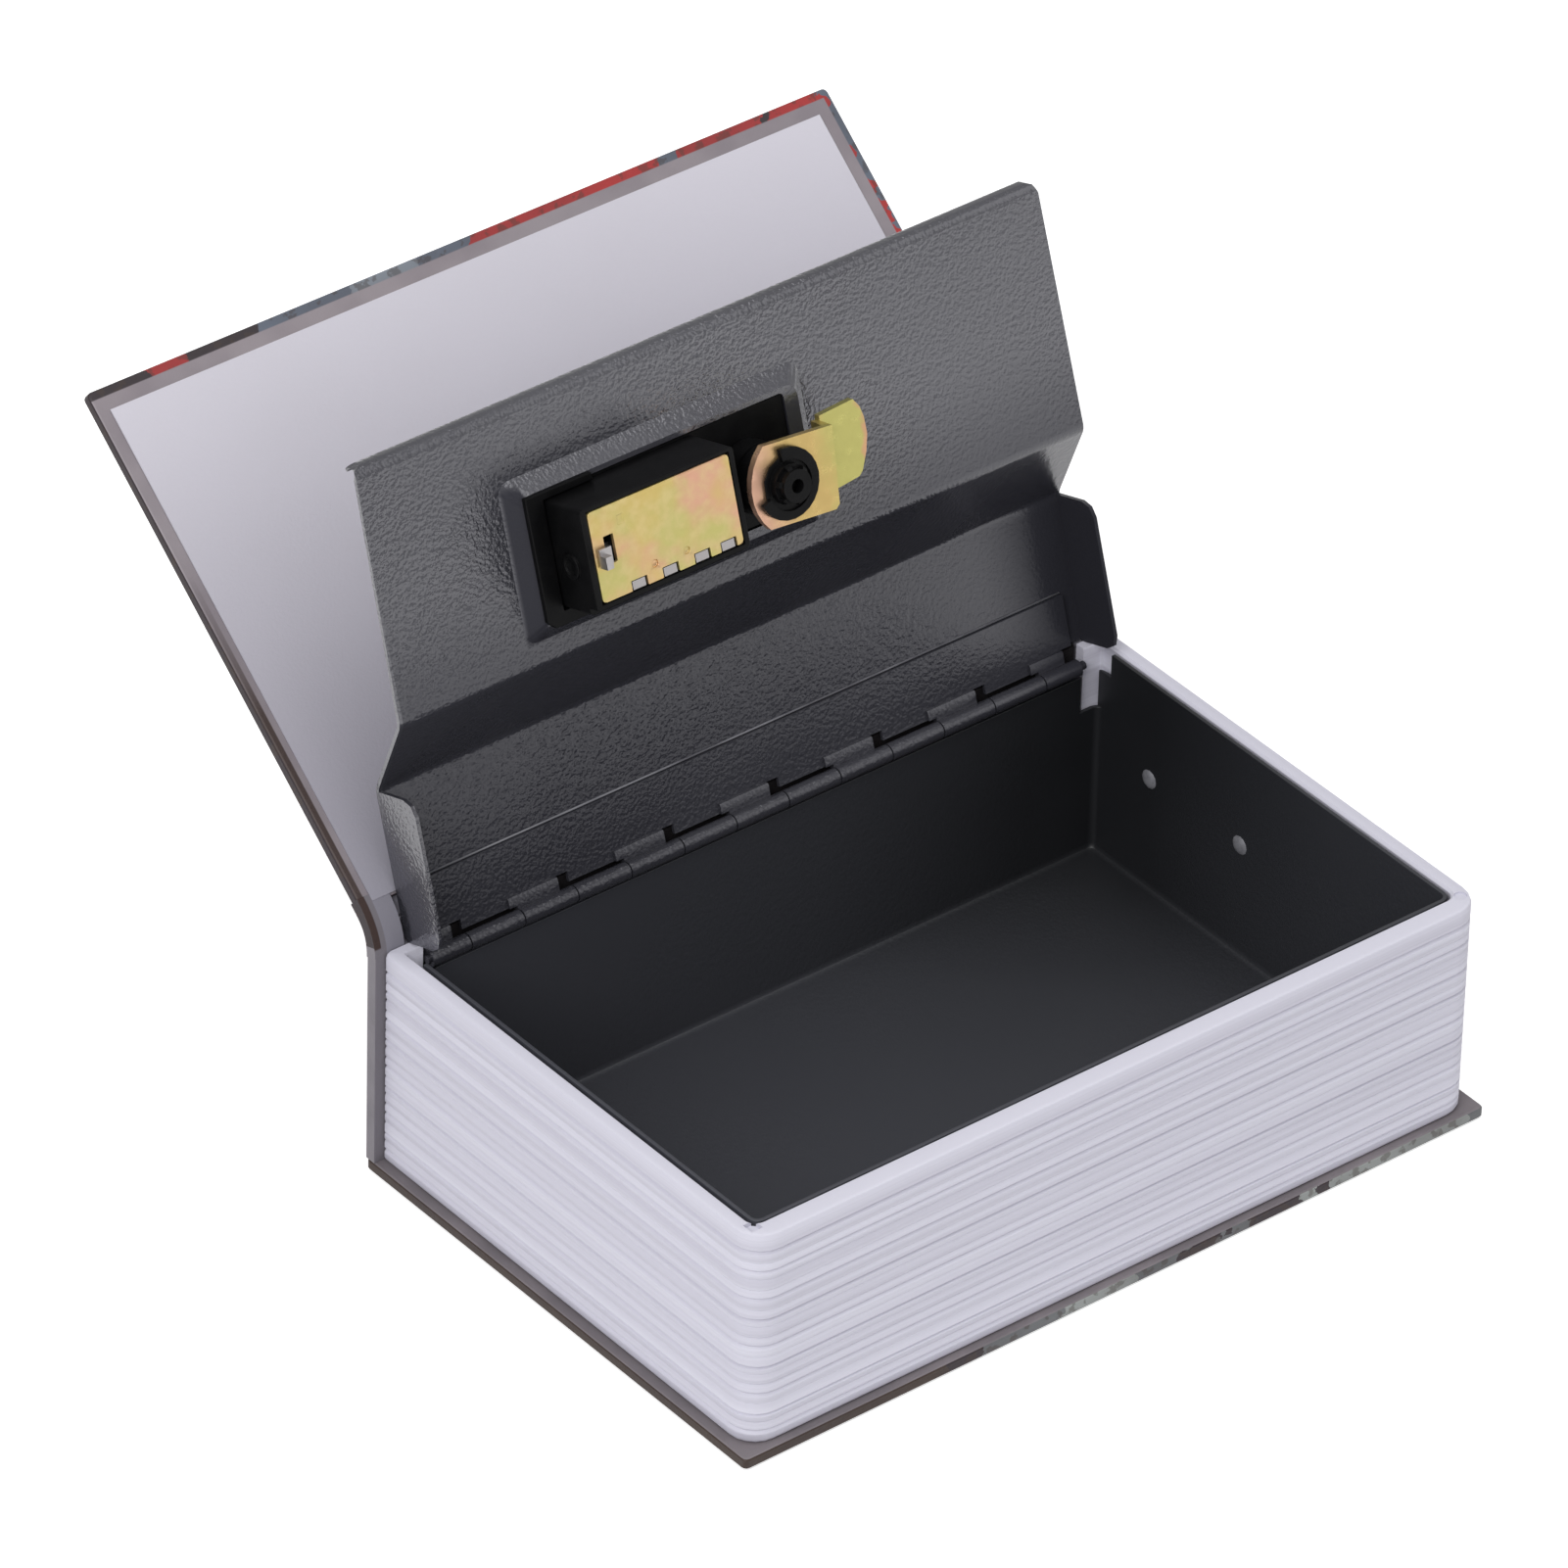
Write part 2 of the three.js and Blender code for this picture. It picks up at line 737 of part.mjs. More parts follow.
for (let place = 0; place < knuckles; place += 1) {
  const x0 = knuckleEdge(place) + knuckleGap / 2;
  const x1 = knuckleEdge(place + 1) - knuckleGap / 2;
  const roll = barX(hingeY, hingeZ, barrelRadius, x0, x1);
  if (place % 2 === 0) {
    const strapEnd = x1 - reliefWidth;
    const strap = block(x0, strapEnd, hingeY - leafEdge - 1, hingeY, leafFaceZ, leafFaceZ + leafThick);
    const tailStart = Math.max(barrelLow, x0 - tailOverhang);
    const tail = run(
      [
        [hingeY - tailReach, leafFaceZ + leafThick / 2],
        [hingeY - tailReach, leafFaceZ - tailThick * 0.6],
        [hingeY - tailReach + tailThick * 0.6, leafFaceZ - tailThick],
        [hingeY - leafEdge, leafFaceZ - tailThick],
        [hingeY - leafEdge, leafFaceZ + leafThick / 2],
      ],
      tailStart,
      strapEnd,
    );
    const bridge = block(
      x0,
      strapEnd,
      hingeY - leafEdge - tailThick,
      hingeY - pinRadius,
      leafFaceZ - tailThick,
      leafFaceZ + leafThick / 2,
    );
    const relief = block(
      strapEnd,
      x1 + knuckleGap,
      hingeY - reliefReach,
      hingeY - barrelRadius - 0.2,
      leafFaceZ - 2 * tailThick,
      leafFaceZ + 2 * leafThick,
    );
    lidLeaf = cut(join(lidLeaf, roll, strap, tail, bridge), relief);
  } else {
    const strap = block(x0, x1, hingeY + barrelRadius - leafThick, hingeY + barrelRadius, hingeZ - 3, hingeZ);
    boxLeaf = join(boxLeaf, roll, strap);
  }
}
const bore = barX(hingeY, hingeZ, boreRadius, barrelLow - 2, barrelHigh + 2);
add('box_hinge_leaf', cut(boxLeaf, bore), finishes.steel);
addLid('lid_hinge_leaf', cut(lidLeaf, bore), finishes.steel);
add(
  'hinge_pin',
  barX(hingeY, hingeZ, pinRadius, barrelLow - pinTailStand, barrelHigh + pinHeadStand),
  finishes.bright,
);

// Lid: a low part by the hinge, a step down, and a sunk main panel
// The corners of a bent strip, rounded at each bend, offset across its thickness
function bentEdge(points, radii) {
  const edge = [];
  points.forEach(([y, z], place) => {
    const before = points[place - 1];
    const after = points[place + 1];
    const radius = radii[place];
    if (!before || !after || !radius) {
      edge.push([y, z]);
      return;
    }
    const here = new THREE.Vector2(y, z);
    const back = new THREE.Vector2(...before).sub(here).normalize();
    const ahead = new THREE.Vector2(...after).sub(here).normalize();
    const half = Math.acos(THREE.MathUtils.clamp(back.dot(ahead), -1, 1)) / 2;
    const reach = radius / Math.tan(half);
    const start = here.clone().addScaledVector(back, reach);
    const end = here.clone().addScaledVector(ahead, reach);
    const centre = back.clone().add(ahead).normalize().multiplyScalar(radius / Math.sin(half)).add(here);
    const from = start.clone().sub(centre).angle();
    let sweep = end.clone().sub(centre).angle() - from;
    if (sweep > Math.PI) sweep -= 2 * Math.PI;
    if (sweep < -Math.PI) sweep += 2 * Math.PI;
    for (let step = 0; step <= 4; step += 1) {
      const angle = from + (sweep * step) / 4;
      edge.push([centre.x + radius * Math.cos(angle), centre.y + radius * Math.sin(angle)]);
    }
  });
  return edge;
}
const hemCentreY = lidForeY + hemRadius;
const hemCentreZ = panelZ + hemRadius;
const hemUnder = [];
const hemOver = [];
for (let step = 0; step <= 7; step += 1) {
  const angle = -Math.PI / 2 - (step / 7) * (Math.PI * 0.82);
  hemUnder.push([hemCentreY + hemRadius * Math.cos(angle), hemCentreZ + hemRadius * Math.sin(angle)]);
  const inside = hemRadius - sheet;
  hemOver.push([hemCentreY + inside * Math.cos(angle), hemCentreZ + inside * Math.sin(angle)]);
}
const lidUnderEdge = bentEdge(
  [[lidHeelY, lidUpperZ], [upperBendY, lidUpperZ], [lowerBendY, panelZ], [hemCentreY + 1, panelZ]],
  [0, bendRadius, bendRadius + sheet, 0],
);
const stepTilt = Math.atan2(lidDrop, upperBendY - lowerBendY);
const bendShift = sheet * Math.tan(stepTilt / 2);
const lidOverEdge = bentEdge(
  [
    [lidHeelY, lidUpperZ + sheet],
    [upperBendY - bendShift, lidUpperZ + sheet],
    [lowerBendY - bendShift, panelZ + sheet],
    [hemCentreY + 1, panelZ + sheet],
  ],
  [0, bendRadius + sheet, bendRadius, 0],
);
const lidProfile = [...lidUnderEdge, ...hemUnder, ...hemOver.reverse(), ...lidOverEdge.reverse()];
let lid = run(lidProfile, -lidHalfLength, lidHalfLength);
const lidOutline = [
  [-lidHalfLength, lidHeelY + 1],
  [-lidHalfLength, lowerBendY],
  [-lidEdgeHalfLength, lidForeY + lidCorner],
  [-lidEdgeHalfLength + lidCorner * 0.3, lidForeY + lidCorner * 0.3],
  [-lidEdgeHalfLength + lidCorner, lidForeY - 0.1],
];
const lidPlan = [...lidOutline, ...lidOutline.map(([x, y]) => [-x, y]).reverse()];
lid = lid.intersect(slab(lidPlan, panelZ - 20, lidUpperZ + 20));

// an ear at each end, folded down from the low part
for (const side of [-1, 1]) {
  const x0 = side < 0 ? -lidHalfLength : lidHalfLength - sheet;
  const ear = run(
    [
      [earHeelY, lidUpperZ + sheet - 0.5],
      [earHeelY, lidUpperZ - earDepth + earCorner],
      [earHeelY - earCorner * 0.3, lidUpperZ - earDepth + earCorner * 0.3],
      [earHeelY - earCorner, lidUpperZ - earDepth],
      [earForeY + earCorner, lidUpperZ - earDepth],
      [earForeY + earCorner * 0.3, lidUpperZ - earDepth + earCorner * 0.3],
      [earForeY, lidUpperZ - earDepth + earCorner],
      [earForeY, lidUpperZ],
      [earForeY + 3, lidUpperZ + sheet - 0.1],
      [lidHeelY - 1, lidUpperZ + sheet - 0.1],
    ],
    x0,
    x0 + sheet,
  );
  lid = join(lid, ear);
}

// the plateau is pressed down round the lock, and its flat is cut out
function plateauRing(inset, z) {
  return {
    points: rounded(
      plateauLow.x + inset,
      plateauHigh.x - inset,
      plateauLow.y + inset,
      plateauHigh.y - inset,
      plateauCorner,
      3,
    ),
    z,
  };
}
const pressed = loft([
  plateauRing(plateauSlope, plateauFace),
  plateauRing(0, panelZ),
  plateauRing(0, panelZ + sheet / 2),
]);
const sunk = loft([
  plateauRing(plateauSlope + sheet * 0.4, plateauFace + sheet),
  plateauRing(sheet * 0.4, panelZ + sheet),
  plateauRing(sheet * 0.4, panelZ + sheet + 2),
]);
lid = cut(
  join(lid, pressed),
  sunk,
  slab(rounded(cutoutLow.x, cutoutHigh.x, cutoutLow.y, cutoutHigh.y, 1, 2), plateauFace - 2, panelZ + 4),
);
addLid('lid_panel', lid, finishes.steel);

// Lock base: a black plate that lies in the sunk side of the plateau
const baseFoot = plateauFace + sheet + lockGap;
let lockBase = join(
  slab(rounded(baseLow.x, baseHigh.x, baseLow.y, baseHigh.y, 2, 3), baseFoot, baseTop),
  block(
    cutoutLow.x + lockGap,
    cutoutHigh.x - lockGap,
    cutoutLow.y + lockGap,
    cutoutHigh.y - lockGap,
    baseFoot - 0.8,
    baseFoot + 1,
  ),
);
const slotRadius = wheelRadius + 0.5;
for (const x of wheelXs) {
  const half = wheelWidth / 2 + 0.35;
  lockBase = cut(lockBase, barX(wheelY, wheelZ, slotRadius, x - half, x + half, 24));
}
lockBase = cut(
  lockBase,
  barX(wheelY, wheelZ, sleeveRadius + 0.4, wheelXs[0], wheelXs[2] + wheelWidth + 0.4, 20),
  barZ(camX, camY, spindleRadius + 0.1, baseFoot - 3, baseTop + 3),
  block(
    housingLow.x + housingWall + 0.4,
    housingHigh.x - housingWall - 0.4,
    wheelY - slotRadius - 0.4,
    wheelY + slotRadius + 0.4,
    baseFoot - 3,
    baseFoot + 0.9,
  ),
);
addLid('lock_base', lockBase, finishes.black);

// Housing: an open-topped box over the wheels, with a rim round the cover plate
const housingTop = baseFoot - 0.8 - lockGap;
const plateTop = housingBottom - lockGap;
const plateFace = plateTop - plateThick;
const innerLow = housingLow.clone().addScalar(housingWall);
const innerHigh = housingHigh.clone().addScalar(-housingWall);
const fenceHighY = innerHigh.y - lockGap;
const fenceLowY = fenceHighY - fenceThick;
const innerFloor = housingBottom + housingFloor;
const bossY = wheelY + 1.3;
const bossZ = housingBottom + bossFromFloor;
const housingRim = rounded(housingLow.x, housingHigh.x, housingLow.y, rimHigh.y, 0.8, 2);
const housingOutline = rounded(housingLow.x, housingHigh.x, housingLow.y, housingHigh.y, 0.8, 2);
const plateLoose = 0.25;
let housing = cut(
  join(
    slab(housingRim, plateFace, innerFloor),
    slab(housingOutline, innerFloor - 0.2, housingTop),
    cut(
      barX(bossY, bossZ, bossRadius, housingLow.x - 0.5, housingLow.x + 0.5, 20),
      barX(bossY, bossZ, bossRadius - 0.9, housingLow.x - 1, housingLow.x - 0.2, 20),
    ),
  ),
  block(
    plateLow.x - plateLoose,
    plateHigh.x + plateLoose,
    plateLow.y - plateLoose,
    plateHigh.y + plateLoose,
    plateFace - 1,
    housingBottom,
  ),
  block(innerLow.x, innerHigh.x, innerLow.y, innerHigh.y, innerFloor, housingTop + 2),
  barX(wheelY, wheelZ, axleRadius + 0.15, housingLow.x + 0.5, housingHigh.x - 0.5, 16),
  block(
    housingHigh.x - 3,
    housingHigh.x + 2,
    fenceLowY - 0.3,
    fenceHighY + 0.2,
    fenceLowZ - 0.3,
    fenceHighZ + 0.3,
  ),
);
// a shallow tray in its floor for the detent spring, and a slot for the lever
const notchXs = plateNotches.map((offset) => camX + offset);
const springLowY = plateHigh.y - 7;
const springZ = housingBottom + 0.9;
const slotLowY = leverFoot - leverStemReach - leverTravel - 0.2;
const slotHighY = leverFoot - 0.1;
housing = cut(
  housing,
  block(notchXs[0] - 3, plateHigh.x, springLowY - 0.3, plateHigh.y + 0.25, housingBottom - 1, springZ),
  block(leverX - 1.4, leverX + 1.4, slotLowY - 0.3, leverFoot + 0.4, housingBottom - 1, innerFloor + 1),
);
addLid('lock_housing', housing, finishes.black);

// Clamp: a stepped tongue at the tail end that grips the plateau's flat
const clampTopZ = plateauFace - lockGap;
addLid(
  'lock_clamp',
  cut(
    slab(
      [
        [clampLow.x, clampLow.y],
        [clampReachX, clampLow.y],
        [clampReachX, housingLow.y + 1],
        [housingLow.x + 2, housingLow.y + 1],
        [housingLow.x + 2, housingHigh.y - 1],
        [clampHigh.x, housingHigh.y - 1],
        [clampHigh.x, clampHigh.y],
        [clampLow.x + 1.5, clampHigh.y],
        [clampLow.x, clampHigh.y - 1.5],
      ],
      clampTopZ - clampThick,
      clampTopZ,
    ),
    block(
      housingLow.x - lockGap,
      housingHigh.x + lockGap,
      housingLow.y - lockGap,
      housingHigh.y + lockGap,
      clampTopZ - 3,
      clampTopZ + 3,
    ),
  ),
  finishes.black,
);

// Cover plate: a yellow-zinc sheet with notches along one edge
let plate = slab(rounded(plateLow.x, plateHigh.x, plateLow.y, plateHigh.y, 0.8, 2), plateFace, plateTop);
for (const x of notchXs) {
  const half = plateNotchWidth / 2;
  plate = cut(
    plate,
    block(x - half, x + half, plateHigh.y - plateNotchDepth, plateHigh.y + 1, plateTop - 3, plateTop + 1),
  );
}
plate = cut(
  plate,
  block(leverX - leverSlotHalf, leverX + leverSlotHalf, slotLowY, slotHighY, plateTop - 3, plateTop + 1),
  ...plateHoles.map(({ x, y }) => barZ(x, y, plateHoleRadius, plateFace - 1, plateFace + plateHoleDepth, 12)),
  block(
    plateMarkLow.x,
    plateMarkHigh.x,
    plateMarkLow.y,
    plateMarkHigh.y,
    plateFace - 1,
    plateFace + plateMarkDepth,
  ),
);
addLid('cover_plate', plate, finishes.zinc);

// Detent spring: a bright comb whose fingers show in the plate's notches
let spring = block(
  notchXs[0] - 2.5,
  plateHigh.x - 0.5,
  springLowY,
  springLowY + 2.4,
  housingBottom + 0.15,
  springZ - lockGap,
);
for (const x of notchXs) {
  const half = plateNotchWidth / 2 - 0.3;
  spring = join(
    spring,
    block(
      x - half - 0.2,
      x + half - 0.6,
      springLowY + 1,
      plateHigh.y,
      housingBottom + 0.15,
      springZ - lockGap,
    ),
  );
}
addLid('detent_spring', spring, finishes.bright);

// Code lever: a thin bent strip that slides in the plate's slot to set a new code. It
// comes up through the slot, crosses the plate's edge and ends in a raised tip.
const leverLowY = leverFoot - leverWidth;
const leverLowX = leverX - leverSlotHalf + 0.2;
const leverHighX = leverLowX + leverStrip;
const leverTipX = plateLow.x + 0.6;
const leverSeatZ = plateFace - lockGap;
addLid(
  'code_lever',
  join(
    block(
      leverLowX,
      leverHighX,
      leverFoot - leverStemReach,
      leverFoot - 0.4,
      leverSeatZ - leverStrip,
      innerFloor + 1,
    ),
    block(
      leverTipX,
      leverHighX,
      leverFoot - leverArmReach,
      leverFoot - leverArmReach + leverArmWidth,
      leverSeatZ - leverStrip,
      leverSeatZ,
    ),
    block(
      leverTipX,
      leverTipX + leverTipWidth,
      leverFoot - leverTipReach,
      leverFoot - 0.2,
      plateFace - leverRise,
      leverSeatZ,
    ),
    block(leverX - 2, leverX + 2, leverLowY - 0.2, leverFoot, innerFloor + 0.3, innerFloor + 1.8),
  ),
  finishes.bright,
);

// Number wheels on one axle, each with a slotted sleeve beside it
addLid(
  'wheel_axle',
  barX(wheelY, wheelZ, axleRadius, housingLow.x + 0.6, housingHigh.x - 0.6),
  finishes.bright,
);
wheelXs.forEach((x, place) => {
  const x0 = x - wheelWidth / 2;
  const x1 = x + wheelWidth / 2;
  const wheelFacets = wheelDigits * 2;
  const turned = new THREE.CylinderGeometry(1, 1, wheelWidth, wheelFacets);
  turned.rotateZ(Math.PI / 2);
  const position = turned.attributes.position;
  for (let vertex = 0; vertex < position.count; vertex += 1) {
    const y = position.getY(vertex);
    const z = position.getZ(vertex);
    const step = Math.round((Math.atan2(z, y) / (2 * Math.PI)) * wheelFacets);
    const radius = Math.abs(step) % 2 === 0 ? wheelRadius : wheelRadius - 0.35;
    position.setXYZ(vertex, position.getX(vertex) + x, wheelY + y * radius, wheelZ + z * radius);
  }
  addLid(
    `number_wheel_${place + 1}`,
    cut(solid(turned), barX(wheelY, wheelZ, wheelBore, x0 - 1, x1 + 1)),
    finishes.black,
  );
  const sleeve0 = x1 + sleeveGap;
  const sleeve1 = sleeve0 + sleeveWidth;
  addLid(
    `wheel_sleeve_${place + 1}`,
    cut(
      barX(wheelY, wheelZ, sleeveRadius, sleeve0, sleeve1, 20),
      barX(wheelY, wheelZ, wheelBore, sleeve0 - 1, sleeve1 + 1),
      block(
        sleeve0 - 1,
        sleeve1 + 1,
        wheelY + sleeveRadius - gateDepth,
        wheelY + sleeveRadius + 1,
        wheelZ - gateWidth / 2,
        wheelZ + gateWidth / 2,
      ),
    ),
    finishes.bright,
  );
});

// Fence: a bar with a tooth for each sleeve, pushed by the drum's eccentric
const padX = camX - drumRadius - fenceTravel - lockGap;
let fence = join(
  block(innerLow.x + 1.2, padX, fenceLowY, fenceHighY, fenceLowZ, fenceHighZ),
  block(padX - fenceThick, padX, camY - 1.8, fenceHighY, fenceLowZ, fenceHighZ - 0.4),
);
for (const x of wheelXs) {
  const tooth = x + wheelWidth / 2 + 0.3;
  fence = join(
    fence,
    block(tooth, tooth + fenceTooth, wheelY + sleeveRadius + 0.4, fenceLowY + 0.2, wheelZ - 1, wheelZ + 0.4),
  );
}
addLid('fence_bar', fence, finishes.bright);

// Spindle: the knob's shaft, a drum with its eccentric, and a square end
addLid(
  'cam_spindle',
  join(
    barZ(camX, camY, spindleRadius, drumTop - 1, baseTop + 2.5),
    barZ(camX, camY, drumRadius, drumFoot, eccentricFoot),
    barZ(camX - fenceTravel, camY, drumRadius, eccentricFoot, eccentricTop),
    barZ(camX, camY, drumRadius - 1.4, eccentricTop, drumTop),
    block(-camSquare, camSquare, -camSquare, camSquare, camFace - 0.2, drumFoot + 1)
      .rotate([0, 0, camTilt])
      .translate([camX, camY, 0]),
  ),
  finishes.black,
);

// Cam: a plate with a rounded end, bent up to a tongue on a second level
const camOutline = [];
const arcHalf = Math.asin(camHalfWidth / camArcRadius);
for (let step = 0; step <= 8; step += 1) {
  const angle = Math.PI - arcHalf + (step / 4) * arcHalf;
  camOutline.push([camArcCentre + camArcRadius * Math.cos(angle), camArcRadius * Math.sin(angle)]);
}
camOutline.push([camEnd, -camHalfWidth], [camEnd, camHalfWidth - 0.9], [camEnd - 0.9, camHalfWidth]);
const tongueLow = camFace + camRise;
const tongueOutline = [
  [camEnd + 0.1, -9.2],
  [20.2, -10.4],
  [21.6, -8.7],
  [22.4, -6.4],
  [22.8, -3],
  [22.2, 0.35],
  [20.95, 3.8],
  [20.1, 4.75],
  [15.1, 5.75],
  [camEnd + 0.1, 6.1],
];
const ramp = new THREE.Shape([
  new THREE.Vector2(camEnd - camThick, camFace),
  new THREE.Vector2(camEnd, camFace),
  new THREE.Vector2(camEnd + 0.3, tongueLow),
  new THREE.Vector2(camEnd + camThick, tongueLow),
  new THREE.Vector2(camEnd + camThick, tongueLow + camThick),
  new THREE.Vector2(camEnd - camThick * 0.6, tongueLow + camThick),
  new THREE.Vector2(camEnd - camThick, camFace + camThick),
]);
const rampBody = new THREE.ExtrudeGeometry(ramp, { depth: camHalfWidth + 6, bevelEnabled: false });
rampBody.rotateX(Math.PI / 2);
rampBody.translate(0, 6, 0);
const camHole = camSquare + 0.2;
let cam = cut(
  join(
    slab(camOutline, camFace, camFace + camThick),
    solid(rampBody),
    slab(tongueOutline, tongueLow, tongueLow + camThick),
  ),
  block(-camHole, camHole, -camHole, camHole, camFace - 1, camFace + camThick + 1),
);
cam = cam.rotate([0, 0, camTilt]).translate([camX, camY, 0]);
addLid('lock_cam', cam, finishes.zinc);

// Retainer: a broken ring on a round foot, with a hollow post over the spindle
const capTop = camFace - lockGap;
const ringOpening = slab([[0, 0], [-9, 3.2], [-12, -3], [-7, -12], [-1, -9]], capTop - 4, capTop - 0.35);
let retainer = join(
  cut(
    barZ(0, 0, capRadius, capTop - capThick, capTop),
    barZ(0.3, 0.4, capInnerRadius, capTop - capThick - 1, capTop - 0.35),
    ringOpening,
  ),
  barZ(0, 0, postRadius + 0.8, capTop - 1.9, capTop - 0.1, 16),
  barZ(0, 0, postRadius, capTop - postHeight, capTop - 0.1, 16),
);
const ringBreak = [
  [-9, 3.2],
  [-12, -3],
  [-7, -12],
  [-1, -9],
  [-0.8, -5.4],
  [-3.4, -4.2],
  [-5, -2],
  [-5.2, 1.8],
];
retainer = cut(
  retainer,
  slab(ringBreak, capTop - 4, capTop + 1),
  barZ(0, 0, postBore, capTop - postHeight - 1, capTop - 1, 12),
);
addLid('cam_retainer', retainer.translate([camX, camY, 0]), finishes.black);

// Knob on the outer side: a round skirt with a grip bar
const knobFoot = baseTop + lockGap;
const grip = rounded(
  camX - knobSkirtRadius + 0.6,
  camX + knobSkirtRadius - 0.6,
  camY - knobGripWidth / 2,
  camY + knobGripWidth / 2,
  2.4,
  4,
);
addLid(
  'turn_knob',
  cut(
    join(
      barZ(camX, camY, knobSkirtRadius, knobFoot, knobFoot + knobSkirtHeight, 32),
      slab(grip, knobFoot + 0.5, knobFoot + knobGripHeight),
    ),
    barZ(camX, camY, spindleRadius + 0.15, knobFoot - 1, baseTop + 2.8),
  ),
  finishes.black,
);

export default safe;
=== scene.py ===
# %% [markdown]
# A book that is a safe
#
# This lesson dresses a finished CAD model in Blender: a hardback cover round a hollow block of
# pages, with a sheet-steel box inside, a stepped steel lid and a small code lock. The CAD frame
# is loaded first and never moved. Each later step gives one part of the object its finish, or
# adds a detail that is too small for the CAD model.

# %% Load the frame
import math

import bmesh
import bpy
from mathutils import Matrix, Vector
from mathutils.geometry import interpolate_bezier


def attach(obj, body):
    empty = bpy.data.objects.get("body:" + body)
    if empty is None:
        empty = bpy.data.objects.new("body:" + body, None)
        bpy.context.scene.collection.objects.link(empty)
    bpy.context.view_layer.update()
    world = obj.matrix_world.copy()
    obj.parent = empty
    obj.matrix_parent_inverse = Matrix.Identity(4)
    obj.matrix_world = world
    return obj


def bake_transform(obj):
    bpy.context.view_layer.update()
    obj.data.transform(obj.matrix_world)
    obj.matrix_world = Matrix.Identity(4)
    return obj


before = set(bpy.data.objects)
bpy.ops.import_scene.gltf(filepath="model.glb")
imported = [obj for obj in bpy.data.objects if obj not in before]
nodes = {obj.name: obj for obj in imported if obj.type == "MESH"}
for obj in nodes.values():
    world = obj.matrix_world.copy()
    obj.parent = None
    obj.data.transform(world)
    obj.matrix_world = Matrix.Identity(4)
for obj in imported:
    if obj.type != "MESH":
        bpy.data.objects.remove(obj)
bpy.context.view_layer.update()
print(len(nodes), "CAD nodes loaded")

# %% [markdown]
# The camera stands where the photographer stood: in front of the fore-edge, a little to the tail
# side, well above the table and far back with a long lens. Its direction is built from three
# angles rather than from a target point, because the picture is also turned a little about its
# own centre.

# %% Camera
AZIMUTH = math.radians(-39.646)
ELEVATION = math.radians(35.708)
ROLL = math.radians(1.667)
DISTANCE = 2.57023
FOCAL_PIXELS = 13828.4
FRAME_PIXELS = 1601
SENSOR = 36.0
SIDEWAYS, UPWARDS = -0.02716, 0.067934
FAR_CLIP = 20

back = Vector((
    math.sin(AZIMUTH) * math.cos(ELEVATION),
    -math.cos(AZIMUTH) * math.cos(ELEVATION),
    math.sin(ELEVATION),
))
level_right = Vector((0, 0, 1)).cross(back).normalized()
level_up = back.cross(level_right)
right = level_right * math.cos(ROLL) + level_up * math.sin(ROLL)
up = level_up * math.cos(ROLL) - level_right * math.sin(ROLL)
eye = back * DISTANCE + right * SIDEWAYS + up * UPWARDS
camera_data = bpy.data.cameras.new("photo_camera")
camera_data.sensor_width = SENSOR
camera_data.sensor_fit = "HORIZONTAL"
camera_data.lens = FOCAL_PIXELS / FRAME_PIXELS * SENSOR
camera_data.clip_end = FAR_CLIP
camera = bpy.data.objects.new("photo_camera", camera_data)
bpy.context.scene.collection.objects.link(camera)
camera.matrix_world = Matrix((
    (right.x, up.x, back.x, eye.x),
    (right.y, up.y, back.y, eye.y),
    (right.z, up.z, back.z, eye.z),
    (0, 0, 0, 1),
))
bpy.context.scene.camera = camera
print("lens", round(camera_data.lens, 1), "mm")

# %% [markdown]
# Shader networks are easier to read when every node is made by one short call. The first helper
# adds a node, fills in its plain values, and links the sockets that are handed to it. The others
# are short names for the nodes that come back most often.

# %% Node helpers
def add_node(tree, kind, settings=None, **inputs):
    """A new node; inputs go by socket name with underscores, or as i0, i1 and so on."""
    made = tree.nodes.new(kind)
    for key, value in (settings or {}).items():
        setattr(made, key, value)
    for key, value in inputs.items():
        numbered = key[0] == "i" and key[1:].isdigit()
        socket = made.inputs[int(key[1:]) if numbered else key.replace("_", " ")]
        if isinstance(value, bpy.types.NodeSocket):
            tree.links.new(value, socket)
        else:
            socket.default_value = value
    return made


def math_of(tree, operation, *values, clamp=False):
    """What a math node makes of values or sockets."""
    settings = {"operation": operation, "use_clamp": clamp}
    inputs = {f"i{number}": value for number, value in enumerate(values)}
    return add_node(tree, "ShaderNodeMath", settings, **inputs).outputs[0]


def times(tree, first, second):
    return math_of(tree, "MULTIPLY", first, second)


def step_up(tree, value, start, end):
    """A mask that rises from 0 to 1 while a value goes from start to end."""
    made = add_node(tree, "ShaderNodeMapRange", Value=value, From_Min=start, From_Max=end)
    return made.outputs[0]


def fade(tree, value, limits, levels):
    """A value that moves softly between two levels while another passes two limits."""
    return add_node(tree, "ShaderNodeMapRange", {"interpolation_type": "SMOOTHSTEP"}, Value=value,
                    From_Min=limits[0], From_Max=limits[1],
                    To_Min=levels[0], To_Max=levels[1]).outputs[0]


def object_place(tree):
    """Where a point lies in the object's own frame."""
    return add_node(tree, "ShaderNodeTexCoord").outputs["Object"]


def split_place(tree, place):
    return add_node(tree, "ShaderNodeSeparateXYZ", Vector=place).outputs


def reach_along(tree, place, direction):
    """How far a point lies along a direction."""
    made = add_node(tree, "ShaderNodeVectorMath", {"operation": "DOT_PRODUCT"},
                    i0=place, i1=direction)
    return made.outputs["Value"]


def srgb(red, green, blue):
    """A colour as a screen shows it, 0 to 255, turned into the linear values of shaders."""
    def linear(value):
        value /= 255
        return value / 12.92 if value <= 0.04045 else ((value + 0.055) / 1.055) ** 2.4
    return (linear(red), linear(green), linear(blue), 1)


print("mid grey in linear light:", round(srgb(128, 128, 128)[0], 3))

